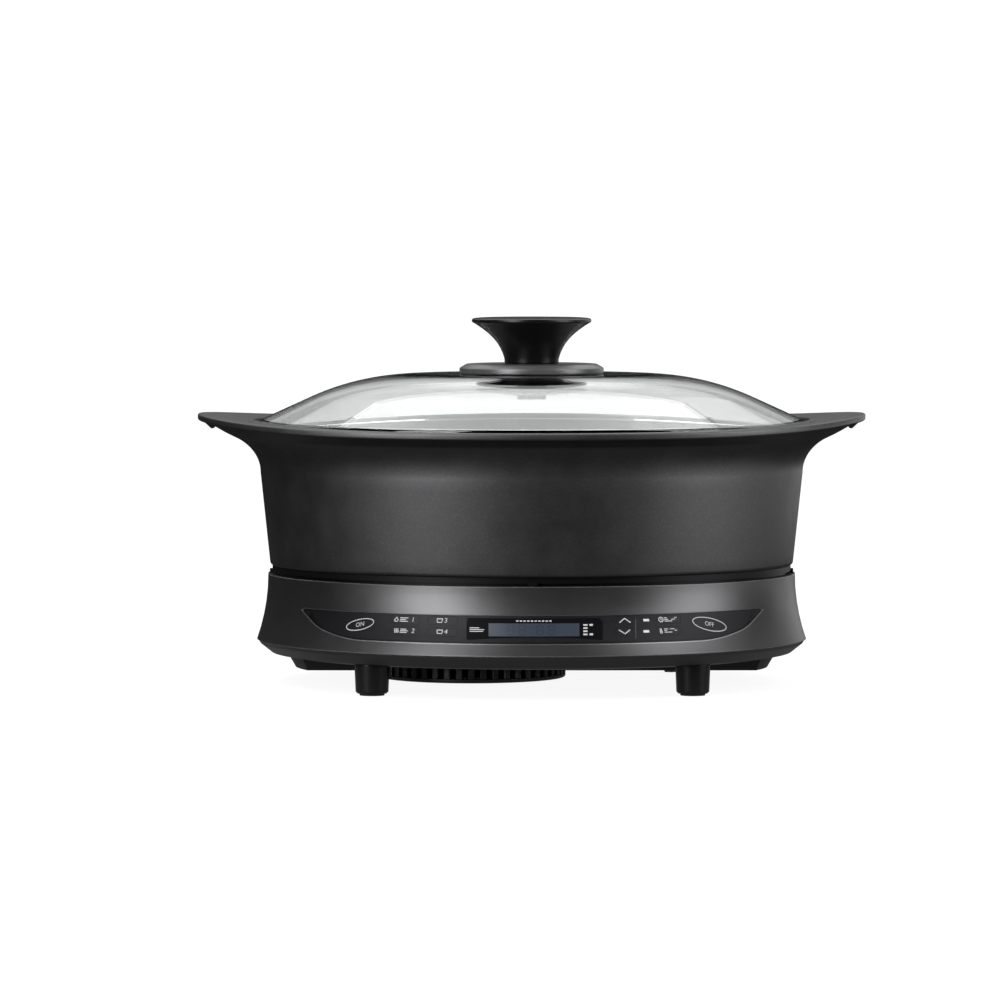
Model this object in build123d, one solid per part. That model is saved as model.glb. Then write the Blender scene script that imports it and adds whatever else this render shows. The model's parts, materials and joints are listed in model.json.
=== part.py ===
"""Induction grill pot: oval induction base, lift-off oval pot and lift-off glass lid with a knob.

Millimetres, +Z up, origin on the table under the middle of the base, front towards -Y.
"""
import os
from math import cos, radians, sin, sqrt, tan

from build123d import *

# Shared fits
SEAT_GAP = 0.3            # space left at a seat that is not a flat contact
HOLE_CLEARANCE = 0.1      # radial room of a screw or a pin in its hole
INSERT_CLEARANCE = 0.15   # room round a piece set into an opening

# Pot
REST_Z = 63.0             # plane where the pot stands on the base
POT_FOOT_RX = 140.0
POT_FOOT_RY = 121.0
POT_FOOT_EDGE = 2.0       # bevel round the bottom edge
BELLY_RX = 145.0
BELLY_RY = 126.0
BELLY_Z = 112.6
POT_WALL = 3.0
POT_FLOOR = 5.0
COVE_X = 28.0             # reach of the hollow curve under the handles
COVE_Y = 13.0             # the same at front and back
COVE_HEIGHT = 22.0
COVE_ANGLE = 75.0         # part of the quarter ellipse that is used
COVE_STEPS = 5
COVE_OUT_X = 7.0          # straight run from the curve up to the lip
COVE_OUT_Y = 3.2
COVE_OUT_Z = 6.6
RIM_RX = 178.5
RIM_RY = 141.5
RIM_FRONT_Z = 138.2       # rim height at front and back
RIM_RISE = 5.9            # how much higher the handle tips are
RIM_POWER = 4
LIP_THICKNESS = 3.6
LEDGE_Z = 134.5           # plane where the lid rests
LID_RX = 147.5
LID_RY = 128.5
LID_PLAY = 1.0            # room round the lid in its seat
TOOTH_INSET = 6.0         # finger rib under each handle tip
TOOTH_WIDTH = 2.5
TOOTH_DEPTH = 3.0
TOOTH_SPAN = 52.0
STOP_X = 150.0            # small lid stops on the rim
STOP_Y = 53.0
STOP_RADIUS = 1.8
PLATE_RX = 112.0          # magnetic plate under the pot
PLATE_RY = 95.0
PLATE_THICKNESS = 1.0
PLATE_RECESS = 0.3

# Lid and knob
LID_TOP_Z = 165.0
LID_EDGE = 4.8            # height of the upright glass edge
LID_EDGE_WIDTH = 5.5
LID_SLOPE = 24.5
LID_SHOULDER = 137.0      # radius between slope and flat top
GLASS = 4.0
FLANGE_RADIUS = 38.6
FLANGE_TOP_RADIUS = 35.6
FLANGE_EDGE = 1.8
FLANGE_HEIGHT = 5.0
GASKET_RADIUS = 30.0
GASKET_THICKNESS = 0.8
GASKET_SQUEEZE = 0.5      # part of the gasket inside the flange
KNOB_TOP_Z = 195.0
KNOB_RADIUS = 32.0
KNOB_NECK = 14.5
KNOB_NECK_RUN = 2.2
KNOB_DISC = 2.6
KNOB_UNDERCUT = 3.5
KNOB_MID_RADIUS = 20.4    # knob stem half way up its flare
KNOB_MID_Z = 183.6
WASHER_RADIUS = 30.0
WASHER_EDGE = 0.7         # upright edge of the dished washer
WASHER_HEIGHT = 4.0
WASHER_FOOT = 9.0         # radius of the flat under the screw head
KNOB_SCREW_HEAD = 7.7
KNOB_SCREW_HEAD_HEIGHT = 2.6
KNOB_SCREW_RADIUS = 2.9
KNOB_SCREW_REACH = 14.0   # thread length inside the knob

# Base casing
HOUSING_RX = 141.0
HOUSING_RY = 121.5
HOUSING_TOP_Z = 58.5
FLARE_Z = 23.5            # lower edge of the upper housing
FLARE_X = 6.0
FLARE_Y = 16.0
HOUSING_STEPS = 5
WALL = 3.6
TOP_WALL = 2.5
FRAME_RX = 138.7
FRAME_RY = 119.0
FRAME_LEDGE = 14.7        # frame width down to its clear opening
FRAME_RIM = 8.0           # frame width round the top plate
FRAME_SKIRT = 4.4
SKIRT_INSET = 5.0
GROOVE_HEIGHT = 1.5       # shadow groove between frame and housing
GROOVE_DEPTH = 2.2
LUG_WIDTH = 5.0
LUG_REACH = 1.4
LUG_ROOT = 1.3            # part of a lug inside the groove wall
LUG_HEIGHT = 2.2
TOP_PLATE_THICKNESS = 4.0
SEAL_THICKNESS = 0.6
COVER_EDGE_STEP = 0.6     # parting step under the housing edge
COVER_EDGE_HEIGHT = 1.9
COVER_ROUND = 1.0
COVER_SIDE_RX = 139.5     # lower edge of the slanted band under the housing
COVER_SIDE_RY = 130.5
COVER_SIDE_Z = 16.9
COVER_RX = 126.0
COVER_RY = 99.0
COVER_Z = 14.0
COVER_WALL = 2.6
TRAY_RX = 126.5
TRAY_RY = 100.0
TRAY_Z = 8.5
TRAY_TOP_Z = 17.0
TRAY_DRAFT = 5.0
TRAY_FRONT_Y = -34.0
TRAY_WALL = 2.2
TRAY_OPENING_INSET = 12.0
TRAY_BOSS_RADIUS = 5.0
TRAY_SCREW_X = 73.7
TRAY_SCREW_SIDE_X = 112.0
TRAY_SCREW_PROUD = 1.2    # how far one screw head stands out
FOOT_X = 83.6
FOOT_FRONT_Y = -90.0
FOOT_REAR_Y = 92.0
FOOT_TOP_RADIUS = 9.4
FOOT_RADIUS = 8.6
FOOT_EDGE = 1.0
FOOT_TOP_Z = 21.0
PAD_RADIUS = 6.5
PAD_THICKNESS = 2.0
PAD_RECESS = 1.0
COLUMN_X = 110.0          # columns that carry the top frame
COLUMN_Y = 60.0
COLUMN_RADIUS = 5.5
COLUMN_BORE_Z = 46.0
SCREW_RADIUS = 1.6
SCREW_HEAD = 3.2
SCREW_HEAD_HEIGHT = 1.8
COLUMN_SCREW_GRIP = 3.2   # thread length inside the top frame

# Control panel on the front of the housing
PANEL_TOP_Z = 43.6
PANEL_BOTTOM_Z = 29.8
PANEL_TIP_X = 121.6
PANEL_SIDE_X = 112.0
PANEL_SIDE_Z = 34.5
PANEL_SIDE_ROUND = 18.0
PANEL_FOOT_X = 96.6
PANEL_ROUND = 60.0
PANEL_TIP_ROUND = 1.0
PANEL_SINK = 0.2
PANEL_THICKNESS = 1.6
MEMBRANE_THICKNESS = 0.6
MEMBRANE_GAP = 0.1        # glue layer in front of and behind the switch layer
PANEL_LEDGE = 3.0
KEY_TOP = PANEL_SINK      # depth of the key face below the housing surface
KEY_THICKNESS = 1.15
KEY_CLEARANCE = 0.12
CUT_DEPTH = 8.0           # half length of the tools that cut key holes
WINDOW_WIDTH = 70.0
WINDOW_HEIGHT = 10.0
WINDOW_X = 1.0
WINDOW_Z = 37.6
WINDOW_ROUND = 1.2
MEMBRANE_MARGIN = 0.6     # how far the switch layer reaches behind the window
KEY_UPPER_Z = 41.0
KEY_LOWER_Z = 35.4
KEY_HEIGHT = 4.6
KEY_ROUND = 1.5
MENU_LEFT_X = -66.0
MENU_RIGHT_X = -46.5
MENU_WIDTH = 16.0
ARROW_X = 47.5
ARROW_WIDTH = 9.0
MODE_X = 70.5
MODE_WIDTH = 14.0
START_X = -89.6
START_WIDTH = 17.8
START_HEIGHT = 6.7
START_TILT = 12.0
OFF_X = 92.0
OFF_WIDTH = 22.2
OFF_HEIGHT = 7.8
OFF_TILT = -12.0
OVAL_Z = 37.6
LIGHT_X = 58.8
LIGHT_WIDTH = 3.2
LIGHT_HEIGHT = 1.4
LCD_WIDTH = 52.0
LCD_HEIGHT = 14.0
LCD_THICKNESS = 3.0
LCD_DEPTH = 5.6
BOARD_THICKNESS = 1.6
CONTROL_BOARD_WIDTH = 66.0
CONTROL_BOARD_HEIGHT = 16.0
BUZZER_RADIUS = 6.0
BUZZER_HEIGHT = 6.0
BUZZER_X = 24.0

# Fan under the front left of the base
FAN_X = -32.0
FAN_Y = -21.0
GRILLE_RADIUS = 50.0
GRILLE_Z = 4.5
GRILLE_WALL = 2.4
GRILLE_FLOOR = 2.0
GRILLE_RIBS = 48
GRILLE_SLOT = 3.0
GRILLE_RIM = 1.5
GRILLE_RAYS = 24
GRILLE_RAY_WIDTH = 3.2
GRILLE_RAY_START = 20.0
GRILLE_RAY_END = 43.0
FAN_HOLE = 44.0
FAN_COLLAR = 8.0          # ring of cover left round the fan hole
FAN_FRAME_RADIUS = 46.0
FAN_FRAME_WALL = 2.6
FAN_FRAME_HEIGHT = 18.0
FAN_STRUTS = 3
FAN_STRUT_WIDTH = 5.0
FAN_STRUT_HEIGHT = 2.5
FAN_MOTOR_RADIUS = 14.0
FAN_MOTOR_HEIGHT = 7.0
FAN_SHAFT_RADIUS = 1.5
FAN_SHAFT_FIT = 0.04
FAN_ROTOR_GAP = 0.6
FAN_HUB_RADIUS = 15.0
FAN_HUB_HEIGHT = 8.5
FAN_BLADES = 7
FAN_BLADE_THICKNESS = 1.6
FAN_BLADE_PITCH = 38.0
FAN_BLADE_CHORD = 11.0
FAN_TIP_GAP = 2.0

# Induction coil and its carrier
COIL_TURNS = 16
COIL_PITCH = 3.9
COIL_WIRE = 3.2
COIL_START_RADIUS = 24.0
COIL_SEAT_GAP = 0.1
MICA_RADIUS = 94.0
MICA_THICKNESS = 0.7
CARRIER_THICKNESS = 4.0
CARRIER_HUB = 21.0
CARRIER_RING = 96.0
CARRIER_RING_WIDTH = 12.0
CARRIER_ARMS = 8
CARRIER_ARM_WIDTH = 13.0
LEG_X = 68.0
LEG_Y = 60.0
LEG_RADIUS = 4.0
FERRITE_LENGTH = 50.0
FERRITE_WIDTH = 10.0
FERRITE_THICKNESS = 4.0
FERRITE_START = 27.0
THERMISTOR_RADIUS = 9.0

# Main board on the tray floor
BOARD_MIN_X = 18.0
BOARD_MAX_X = 106.0
BOARD_MIN_Y = -20.0
BOARD_MAX_Y = 50.0
BOARD_Z = 20.0
BOARD_POST_INSET = 7.0
BOARD_POST_RADIUS = 4.0
BOARD_SCREW_LENGTH = 7.0
SINK_X = 27.0
SINK_Y = -4.0
SINK_LENGTH = 34.0
SINK_WIDTH = 26.0
SINK_HEIGHT = 19.0
SINK_FLOOR = 4.0
SINK_FINS = 6
SINK_FIN = 1.8
CHIP_WIDTH = 14.0
CHIP_HEIGHT = 15.0
CHIP_THICKNESS = 4.5
CAP_RADIUS = 8.0
CAP_HEIGHT = 21.0
CAP_X = 92.0
CAP_Y = 6.0
CAP_PITCH = 18.0
CAP_COUNT = 2
CHOKE_X = 72.0
CHOKE_Y = 4.0
CHOKE_RADIUS = 10.0
CHOKE_SECTION = 3.5

# Power inlet and vents at the back
INLET_WIDTH = 34.0
INLET_BOTTOM_Z = 31.0
INLET_TOP_Z = 47.0
INLET_FRONT_Y = 98.0
INLET_BACK_Y = 122.0
INLET_WALL = 2.5
INLET_DEPTH = 16.0
PIN_RADIUS = 1.5
PIN_PITCH = 8.0
PIN_COUNT = 3
PIN_LENGTH = 11.0
PIN_DROP = 2.5            # pin centre above the socket floor
VENT_COUNT = 6
VENT_START_X = 32.0
VENT_PITCH = 8.0
VENT_WIDTH = 3.2
VENT_BOTTOM_Z = 37.0
VENT_TOP_Z = 51.0

FAR = 400.0               # longer than the object, for cutting tools
PARTS = {}


def keep(name, shape):
    """Store a finished piece under its node name."""
    PARTS[name] = shape


def oval(rx, ry, z):
    return Plane.XY.offset(z) * Ellipse(rx, ry)


def oval_solid(rx, ry, bottom, top):
    return extrude(oval(rx, ry, bottom), amount=top - bottom)


def oval_loft(sections, ruled=False):
    return loft([oval(rx, ry, z).faces()[0] for rx, ry, z in sections], ruled=ruled)


def post(x, y, radius, bottom, top):
    return Pos(x, y, bottom) * extrude(Circle(radius), amount=top - bottom)


def block(x0, x1, y0, y1, z0, z1):
    return Pos((x0 + x1) / 2, (y0 + y1) / 2, (z0 + z1) / 2) * Box(x1 - x0, y1 - y0, z1 - z0)


def ring(outer, inner, bottom, top):
    return post(0, 0, outer, bottom, top) - post(0, 0, inner, bottom, top)


def turned(edges):
    """Solid of revolution about Z from a closed chain of edges in the XZ plane."""
    return revolve(Plane.XZ * make_face(edges), Axis.Z)


def turned_outline(points):
    return turned(Polyline(points, close=True).edges())


def group(solids):
    """Several separate solids that share one node."""
    return Compound(children=[piece for solid in solids for piece in solid.solids()])


def four_corners(x, y):
    return [(side * x, end * y) for side in (-1, 1) for end in (-1, 1)]


# Pot

def rim_height(x):
    return RIM_FRONT_Z + RIM_RISE * (abs(x) / RIM_RX) ** RIM_POWER


def rim_slab(lower, upper):
    """Saddle-shaped slab between two offsets from the rim surface."""
    steps = 8
    reach = RIM_RX * 1.05
    places = [reach * (2 * index / steps - 1) for index in range(steps + 1)]
    under = Spline([(x, rim_height(x) + lower) for x in places])
    over = Spline([(x, rim_height(x) + upper) for x in places])
    sides = [Line(under @ 0, over @ 0), Line(under @ 1, over @ 1)]
    return extrude(Plane.XZ * make_face([under, over, *sides]), amount=FAR / 2, both=True)


def make_pot():
    foot = oval_loft(
        [
            (POT_FOOT_RX - POT_FOOT_EDGE, POT_FOOT_RY - POT_FOOT_EDGE, REST_Z),
            (POT_FOOT_RX, POT_FOOT_RY, REST_Z + POT_FOOT_EDGE),
            (BELLY_RX, BELLY_RY, BELLY_Z),
        ],
        ruled=True,
    )
    sections = []
    for step in range(COVE_STEPS + 1):
        turn = radians(COVE_ANGLE * step / COVE_STEPS)
        out = 1 - cos(turn)
        height = BELLY_Z + COVE_HEIGHT * sin(turn)
        sections.append((BELLY_RX + COVE_X * out, BELLY_RY + COVE_Y * out, height))
    last_rx, last_ry, last_z = sections[-1]
    sections.append((last_rx + COVE_OUT_X, last_ry + COVE_OUT_Y, last_z + COVE_OUT_Z))
    cove = oval_loft(sections) - rim_slab(-LIP_THICKNESS / 2, FAR)
    lip = oval_solid(RIM_RX, RIM_RY, LEDGE_Z - LIP_THICKNESS, FAR) & rim_slab(-LIP_THICKNESS, 0)
    tooth = oval_solid(RIM_RX - TOOTH_INSET, RIM_RY - TOOTH_INSET, LEDGE_Z, FAR)
    inner = TOOTH_INSET + TOOTH_WIDTH
    tooth -= oval_solid(RIM_RX - inner, RIM_RY - inner, LEDGE_Z, FAR)
    tooth &= rim_slab(-LIP_THICKNESS - TOOTH_DEPTH, -LIP_THICKNESS / 2)
    tooth &= Box(FAR, TOOTH_SPAN, FAR)
    pot = foot + cove + lip + tooth
    for x, y in four_corners(STOP_X, STOP_Y):
        pot += Pos(x, y, rim_height(x)) * Sphere(STOP_RADIUS)
    pot -= oval_loft(
        [
            (POT_FOOT_RX - POT_WALL, POT_FOOT_RY - POT_WALL, REST_Z + POT_FLOOR),
            (BELLY_RX - POT_WALL, BELLY_RY - POT_WALL, BELLY_Z),
            (BELLY_RX - POT_WALL, BELLY_RY - POT_WALL, LEDGE_Z + LIP_THICKNESS),
        ],
        ruled=True,
    )
    pot -= oval_solid(LID_RX + LID_PLAY, LID_RY + LID_PLAY, LEDGE_Z, FAR)
    plate_bottom = REST_Z + PLATE_RECESS
    plate_top = plate_bottom + PLATE_THICKNESS
    room = INSERT_CLEARANCE
    pot -= oval_solid(PLATE_RX + room, PLATE_RY + room, REST_Z - POT_FOOT_EDGE, plate_top)
    keep("pot", pot)
    keep("pot_induction_plate", oval_solid(PLATE_RX, PLATE_RY, plate_bottom, plate_top))


# Lid

def make_lid():
    slope = radians(LID_SLOPE)
    edge_top = LEDGE_Z + LID_EDGE
    meet_x = LID_RX - (LID_TOP_Z - edge_top) / tan(slope)
    flat_x = meet_x - LID_SHOULDER * tan(slope / 2)
    centre_z = LID_TOP_Z - LID_SHOULDER

    def shoulder(radius):
        turns = (0, slope / 2, slope)
        points = [(flat_x + radius * sin(turn), centre_z + radius * cos(turn)) for turn in turns]
        return ThreePointArc(*points)

    outer = shoulder(LID_SHOULDER)
    inner = shoulder(LID_SHOULDER - GLASS)
    rim_inner_x = LID_RX - LID_EDGE_WIDTH
    under_z = edge_top + LID_EDGE_WIDTH * tan(slope) - GLASS / cos(slope)
    edges = [
        Line((0, LID_TOP_Z), outer @ 0),
        outer,
        Polyline(outer @ 1, (LID_RX, edge_top), (LID_RX, LEDGE_Z), (rim_inner_x, LEDGE_Z),
                 (rim_inner_x, under_z), inner @ 1),
        inner,
        Polyline(inner @ 0, (0, LID_TOP_Z - GLASS), (0, LID_TOP_Z)),
    ]
    glass = scale(turned(edges), by=(1, LID_RY / LID_RX, 1))
    hole = KNOB_SCREW_RADIUS + HOLE_CLEARANCE
    glass -= post(0, 0, hole, LID_TOP_Z - 2 * GLASS, LID_TOP_Z + GLASS)
    keep("lid_glass", glass)

    flange_bottom = LID_TOP_Z + GASKET_THICKNESS - GASKET_SQUEEZE
    flange_top = flange_bottom + FLANGE_HEIGHT
    flange = turned_outline(
        [
            (hole, flange_bottom),
            (FLANGE_RADIUS, flange_bottom),
            (FLANGE_RADIUS, flange_bottom + FLANGE_EDGE),
            (FLANGE_TOP_RADIUS, flange_top),
            (hole, flange_top),
        ]
    )
    gasket_top = LID_TOP_Z + GASKET_THICKNESS
    flange -= post(0, 0, GASKET_RADIUS + INSERT_CLEARANCE, flange_bottom, gasket_top)
    keep("knob_base", flange)
    keep("knob_gasket", ring(GASKET_RADIUS, hole, LID_TOP_Z, gasket_top))

    thread_top = flange_top + KNOB_SCREW_REACH
    neck_top = flange_top + KNOB_NECK_RUN
    disc_bottom = KNOB_TOP_Z - KNOB_DISC
    flare_top = disc_bottom - KNOB_UNDERCUT / 2
    trumpet = ThreePointArc(
        (KNOB_NECK, neck_top),
        (KNOB_MID_RADIUS, KNOB_MID_Z),
        (KNOB_RADIUS - KNOB_UNDERCUT, flare_top),
    )
    rounded = KNOB_DISC / 2
    rim = ThreePointArc(
        (KNOB_RADIUS - rounded / 2, disc_bottom),
        (KNOB_RADIUS, disc_bottom + rounded),
        (KNOB_RADIUS - rounded, KNOB_TOP_Z),
    )
    knob_edges = [
        Polyline((0, flange_top), (KNOB_NECK, flange_top), trumpet @ 0),
        trumpet,
        Line(trumpet @ 1, rim @ 0),
        rim,
        Polyline(rim @ 1, (0, KNOB_TOP_Z), (0, flange_top)),
    ]
    knob = turned(knob_edges) - post(0, 0, hole, flange_top, thread_top + SEAT_GAP)
    keep("knob", knob)

    under = LID_TOP_Z - GLASS
    washer_bottom = under - WASHER_HEIGHT
    washer = turned_outline(
        [
            (hole, under),
            (WASHER_RADIUS, under),
            (WASHER_RADIUS, under - WASHER_EDGE),
            (WASHER_FOOT, washer_bottom),
            (hole, washer_bottom),
        ]
    )
    keep("knob_washer", washer)
    head_bottom = washer_bottom - KNOB_SCREW_HEAD_HEIGHT
    screw = post(0, 0, KNOB_SCREW_HEAD, head_bottom, washer_bottom)
    screw += post(0, 0, KNOB_SCREW_RADIUS, washer_bottom, thread_top)
    slot = Box(2 * KNOB_SCREW_HEAD, KNOB_SCREW_RADIUS / 2, KNOB_SCREW_HEAD_HEIGHT)
    screw -= Pos(0, 0, head_bottom) * slot
    keep("knob_screw", screw)


# Base casing

def flare(z):
    """Share of the outward flare reached at a height, with its slope."""
    span = HOUSING_TOP_Z - FLARE_Z
    depth = (HOUSING_TOP_Z - z) / span
    return depth * depth, -2 * depth / span


def housing_axes(z, inset=0.0):
    share = flare(z)[0]
    return HOUSING_RX + FLARE_X * share - inset, HOUSING_RY + FLARE_Y * share - inset


def housing_body(inset, bottom=FLARE_Z, top=HOUSING_TOP_Z):
    heights = [bottom + (top - bottom) * step / HOUSING_STEPS for step in range(HOUSING_STEPS + 1)]
    return oval_loft([(*housing_axes(z, inset), z) for z in heights])


def panel_plane(x, z):
    """Plane on the front of the housing, facing outward."""
    rx, ry = housing_axes(z)
    y = -ry * sqrt(1 - (x / rx) ** 2)
    slope = flare(z)[1]
    rise = x * x * FLARE_X * slope / rx**3 + y * y * FLARE_Y * slope / ry**3
    normal = Vector(x / rx**2, y / ry**2, -rise)
    return Plane(origin=(x, y, z), x_dir=(-normal.Y, normal.X, 0), z_dir=normal)


def panel_outline(grow):
    """Curved-sheet outline seen from the front, widened by a margin."""
    corners = [
        (-PANEL_TIP_X, PANEL_TOP_Z),
        (PANEL_TIP_X, PANEL_TOP_Z),
        (PANEL_SIDE_X, PANEL_SIDE_Z),
        (PANEL_FOOT_X, PANEL_BOTTOM_Z),
        (-PANEL_FOOT_X, PANEL_BOTTOM_Z),
        (-PANEL_SIDE_X, PANEL_SIDE_Z),
    ]
    rounds = [PANEL_TIP_ROUND, PANEL_TIP_ROUND, PANEL_SIDE_ROUND]
    rounds += [PANEL_ROUND, PANEL_ROUND, PANEL_SIDE_ROUND]
    outline = make_face(FilletPolyline(corners, radius=rounds, close=True).edges())
    outline = offset(outline, grow, kind=Kind.INTERSECTION) if grow else outline
    return extrude(Plane.XZ * outline, amount=FAR)


def panel_layer(top, thickness):
    return housing_body(top) - housing_body(top + thickness)


def key_tool(x, z, shape):
    return extrude(panel_plane(x, z) * shape, amount=CUT_DEPTH, both=True)


def key_shapes():
    """Name, place and outline of each key, with the outline widened by a margin."""
    def bar(width):
        return lambda grow: RectangleRounded(width + 2 * grow, KEY_HEIGHT + 2 * grow, KEY_ROUND + grow)

    def egg(width, height, tilt):
        return lambda grow: Rot(0, 0, tilt) * Ellipse(width / 2 + grow, height / 2 + grow)

    return [
        ("key_start", START_X, OVAL_Z, egg(START_WIDTH, START_HEIGHT, START_TILT)),
        ("key_menu_1", MENU_LEFT_X, KEY_UPPER_Z, bar(MENU_WIDTH)),
        ("key_menu_2", MENU_LEFT_X, KEY_LOWER_Z, bar(MENU_WIDTH)),
        ("key_menu_3", MENU_RIGHT_X, KEY_UPPER_Z, bar(MENU_WIDTH)),
        ("key_menu_4", MENU_RIGHT_X, KEY_LOWER_Z, bar(MENU_WIDTH)),
        ("key_up", ARROW_X, KEY_UPPER_Z, bar(ARROW_WIDTH)),
        ("key_down", ARROW_X, KEY_LOWER_Z, bar(ARROW_WIDTH)),
        ("key_mode_1", MODE_X, KEY_UPPER_Z, bar(MODE_WIDTH)),
        ("key_mode_2", MODE_X, KEY_LOWER_Z, bar(MODE_WIDTH)),
        ("key_off", OFF_X, OVAL_Z, egg(OFF_WIDTH, OFF_HEIGHT, OFF_TILT)),
    ]


def light_tools(grow):
    shape = Rectangle(LIGHT_WIDTH + 2 * grow, LIGHT_HEIGHT + 2 * grow)
    return [key_tool(LIGHT_X, z, shape) for z in (KEY_UPPER_Z, KEY_LOWER_Z)]


def window_tool(grow):
    shape = RectangleRounded(WINDOW_WIDTH + 2 * grow, WINDOW_HEIGHT + 2 * grow, WINDOW_ROUND + grow)
    return key_tool(WINDOW_X, WINDOW_Z, shape)


def make_housing():
    housing = housing_body(0)
    housing -= housing_body(WALL, FLARE_Z - WALL, HOUSING_TOP_Z - TOP_WALL)
    skirt_rx = FRAME_RX - SKIRT_INSET
    skirt_ry = FRAME_RY - SKIRT_INSET
    housing -= oval_solid(skirt_rx + SEAT_GAP, skirt_ry + SEAT_GAP, FLARE_Z, FAR)
    stack = PANEL_SINK + PANEL_THICKNESS + MEMBRANE_THICKNESS + 2 * MEMBRANE_GAP
    housing -= panel_outline(INSERT_CLEARANCE) - housing_body(stack)
    housing -= panel_outline(-PANEL_LEDGE)
    room = INSERT_CLEARANCE
    half = INLET_WIDTH / 2 + room
    housing -= block(-half, half, INLET_FRONT_Y, FAR / 2, INLET_BOTTOM_Z - room, INLET_TOP_Z + room)
    for index in range(VENT_COUNT):
        for side in (-1, 1):
            x = side * (VENT_START_X + index * VENT_PITCH)
            y = INLET_FRONT_Y / 2
            housing -= block(x - VENT_WIDTH / 2, x + VENT_WIDTH / 2, y, FAR / 2, VENT_BOTTOM_Z, VENT_TOP_Z)
    keep("upper_housing", housing)


def make_top():
    plate_bottom = REST_Z - TOP_PLATE_THICKNESS
    ledge_z = plate_bottom - SEAL_THICKNESS
    skirt_bottom = HOUSING_TOP_Z - FRAME_SKIRT
    groove_top = HOUSING_TOP_Z + GROOVE_HEIGHT
    frame = oval_solid(FRAME_RX, FRAME_RY, groove_top, REST_Z)
    frame += oval_solid(FRAME_RX - GROOVE_DEPTH, FRAME_RY - GROOVE_DEPTH, HOUSING_TOP_Z, groove_top)
    lug_root = GROOVE_DEPTH + LUG_ROOT
    lug_depth = lug_root + LUG_REACH
    for along_x, reach in ((True, FRAME_RX), (False, FRAME_RY)):
        for side in (-1, 1):
            middle = side * (reach + (LUG_REACH - lug_root) / 2)
            size = (lug_depth, LUG_WIDTH) if along_x else (LUG_WIDTH, lug_depth)
            place = (middle, 0) if along_x else (0, middle)
            frame += Pos(*place, HOUSING_TOP_Z + LUG_HEIGHT / 2) * Box(*size, LUG_HEIGHT)
    frame += oval_solid(FRAME_RX - SKIRT_INSET, FRAME_RY - SKIRT_INSET, skirt_bottom, HOUSING_TOP_Z)
    frame -= oval_solid(FRAME_RX - FRAME_LEDGE, FRAME_RY - FRAME_LEDGE, skirt_bottom, REST_Z)
    frame -= oval_solid(FRAME_RX - FRAME_RIM, FRAME_RY - FRAME_RIM, ledge_z, REST_Z)
    thread = SCREW_RADIUS + HOLE_CLEARANCE
    for x, y in four_corners(COLUMN_X, COLUMN_Y):
        frame -= post(x, y, thread, skirt_bottom, skirt_bottom + COLUMN_SCREW_GRIP)
    keep("top_frame", frame)
    plate_rx = FRAME_RX - FRAME_RIM - INSERT_CLEARANCE
    plate_ry = FRAME_RY - FRAME_RIM - INSERT_CLEARANCE
    keep("top_plate", oval_solid(plate_rx, plate_ry, plate_bottom, REST_Z))
    seal = oval_solid(plate_rx, plate_ry, ledge_z, plate_bottom)
    seal -= oval_solid(FRAME_RX - FRAME_LEDGE, FRAME_RY - FRAME_LEDGE, ledge_z, plate_bottom)
    keep("top_plate_seal", seal)


def cover_outer():
    """Filled outside of the bottom cover."""
    edge_rx, edge_ry = housing_axes(FLARE_Z, COVER_EDGE_STEP)
    low = FLARE_Z - COVER_EDGE_HEIGHT
    return oval_loft(
        [
            (edge_rx, edge_ry, FLARE_Z),
            (edge_rx - COVER_ROUND, edge_ry - COVER_ROUND, low),
            (COVER_SIDE_RX, COVER_SIDE_RY, COVER_SIDE_Z),
            (COVER_RX, COVER_RY, COVER_Z),
        ],
        ruled=True,
    )


def tray_body(inset, floor, top):
    """D-shaped bulge: the back follows the oval and the front is straight."""
    def section(z):
        grow = TRAY_DRAFT * (z - TRAY_Z) / (TRAY_TOP_Z - TRAY_Z) - inset
        front = TRAY_FRONT_Y - grow
        shape = Ellipse(TRAY_RX + grow, TRAY_RY + grow) & (Pos(0, front + FAR / 2) * Rectangle(FAR, FAR))
        return (Plane.XY.offset(z) * shape).faces()[0]

    return loft([section(floor), section(top)], ruled=True)


def board_posts():
    inset = BOARD_POST_INSET
    return [
        (x, y)
        for x in (BOARD_MIN_X + inset, BOARD_MAX_X - inset)
        for y in (BOARD_MIN_Y + inset, BOARD_MAX_Y - inset)
    ]


def tray_screw_places():
    """Place of each tray screw and how far its head stands out."""
    front = TRAY_FRONT_Y + TRAY_OPENING_INSET / 2
    back = TRAY_RY - TRAY_OPENING_INSET / 2
    return [(TRAY_SCREW_X, front, TRAY_SCREW_PROUD), (-TRAY_SCREW_SIDE_X, front, 0), (0, back, 0)]


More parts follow.
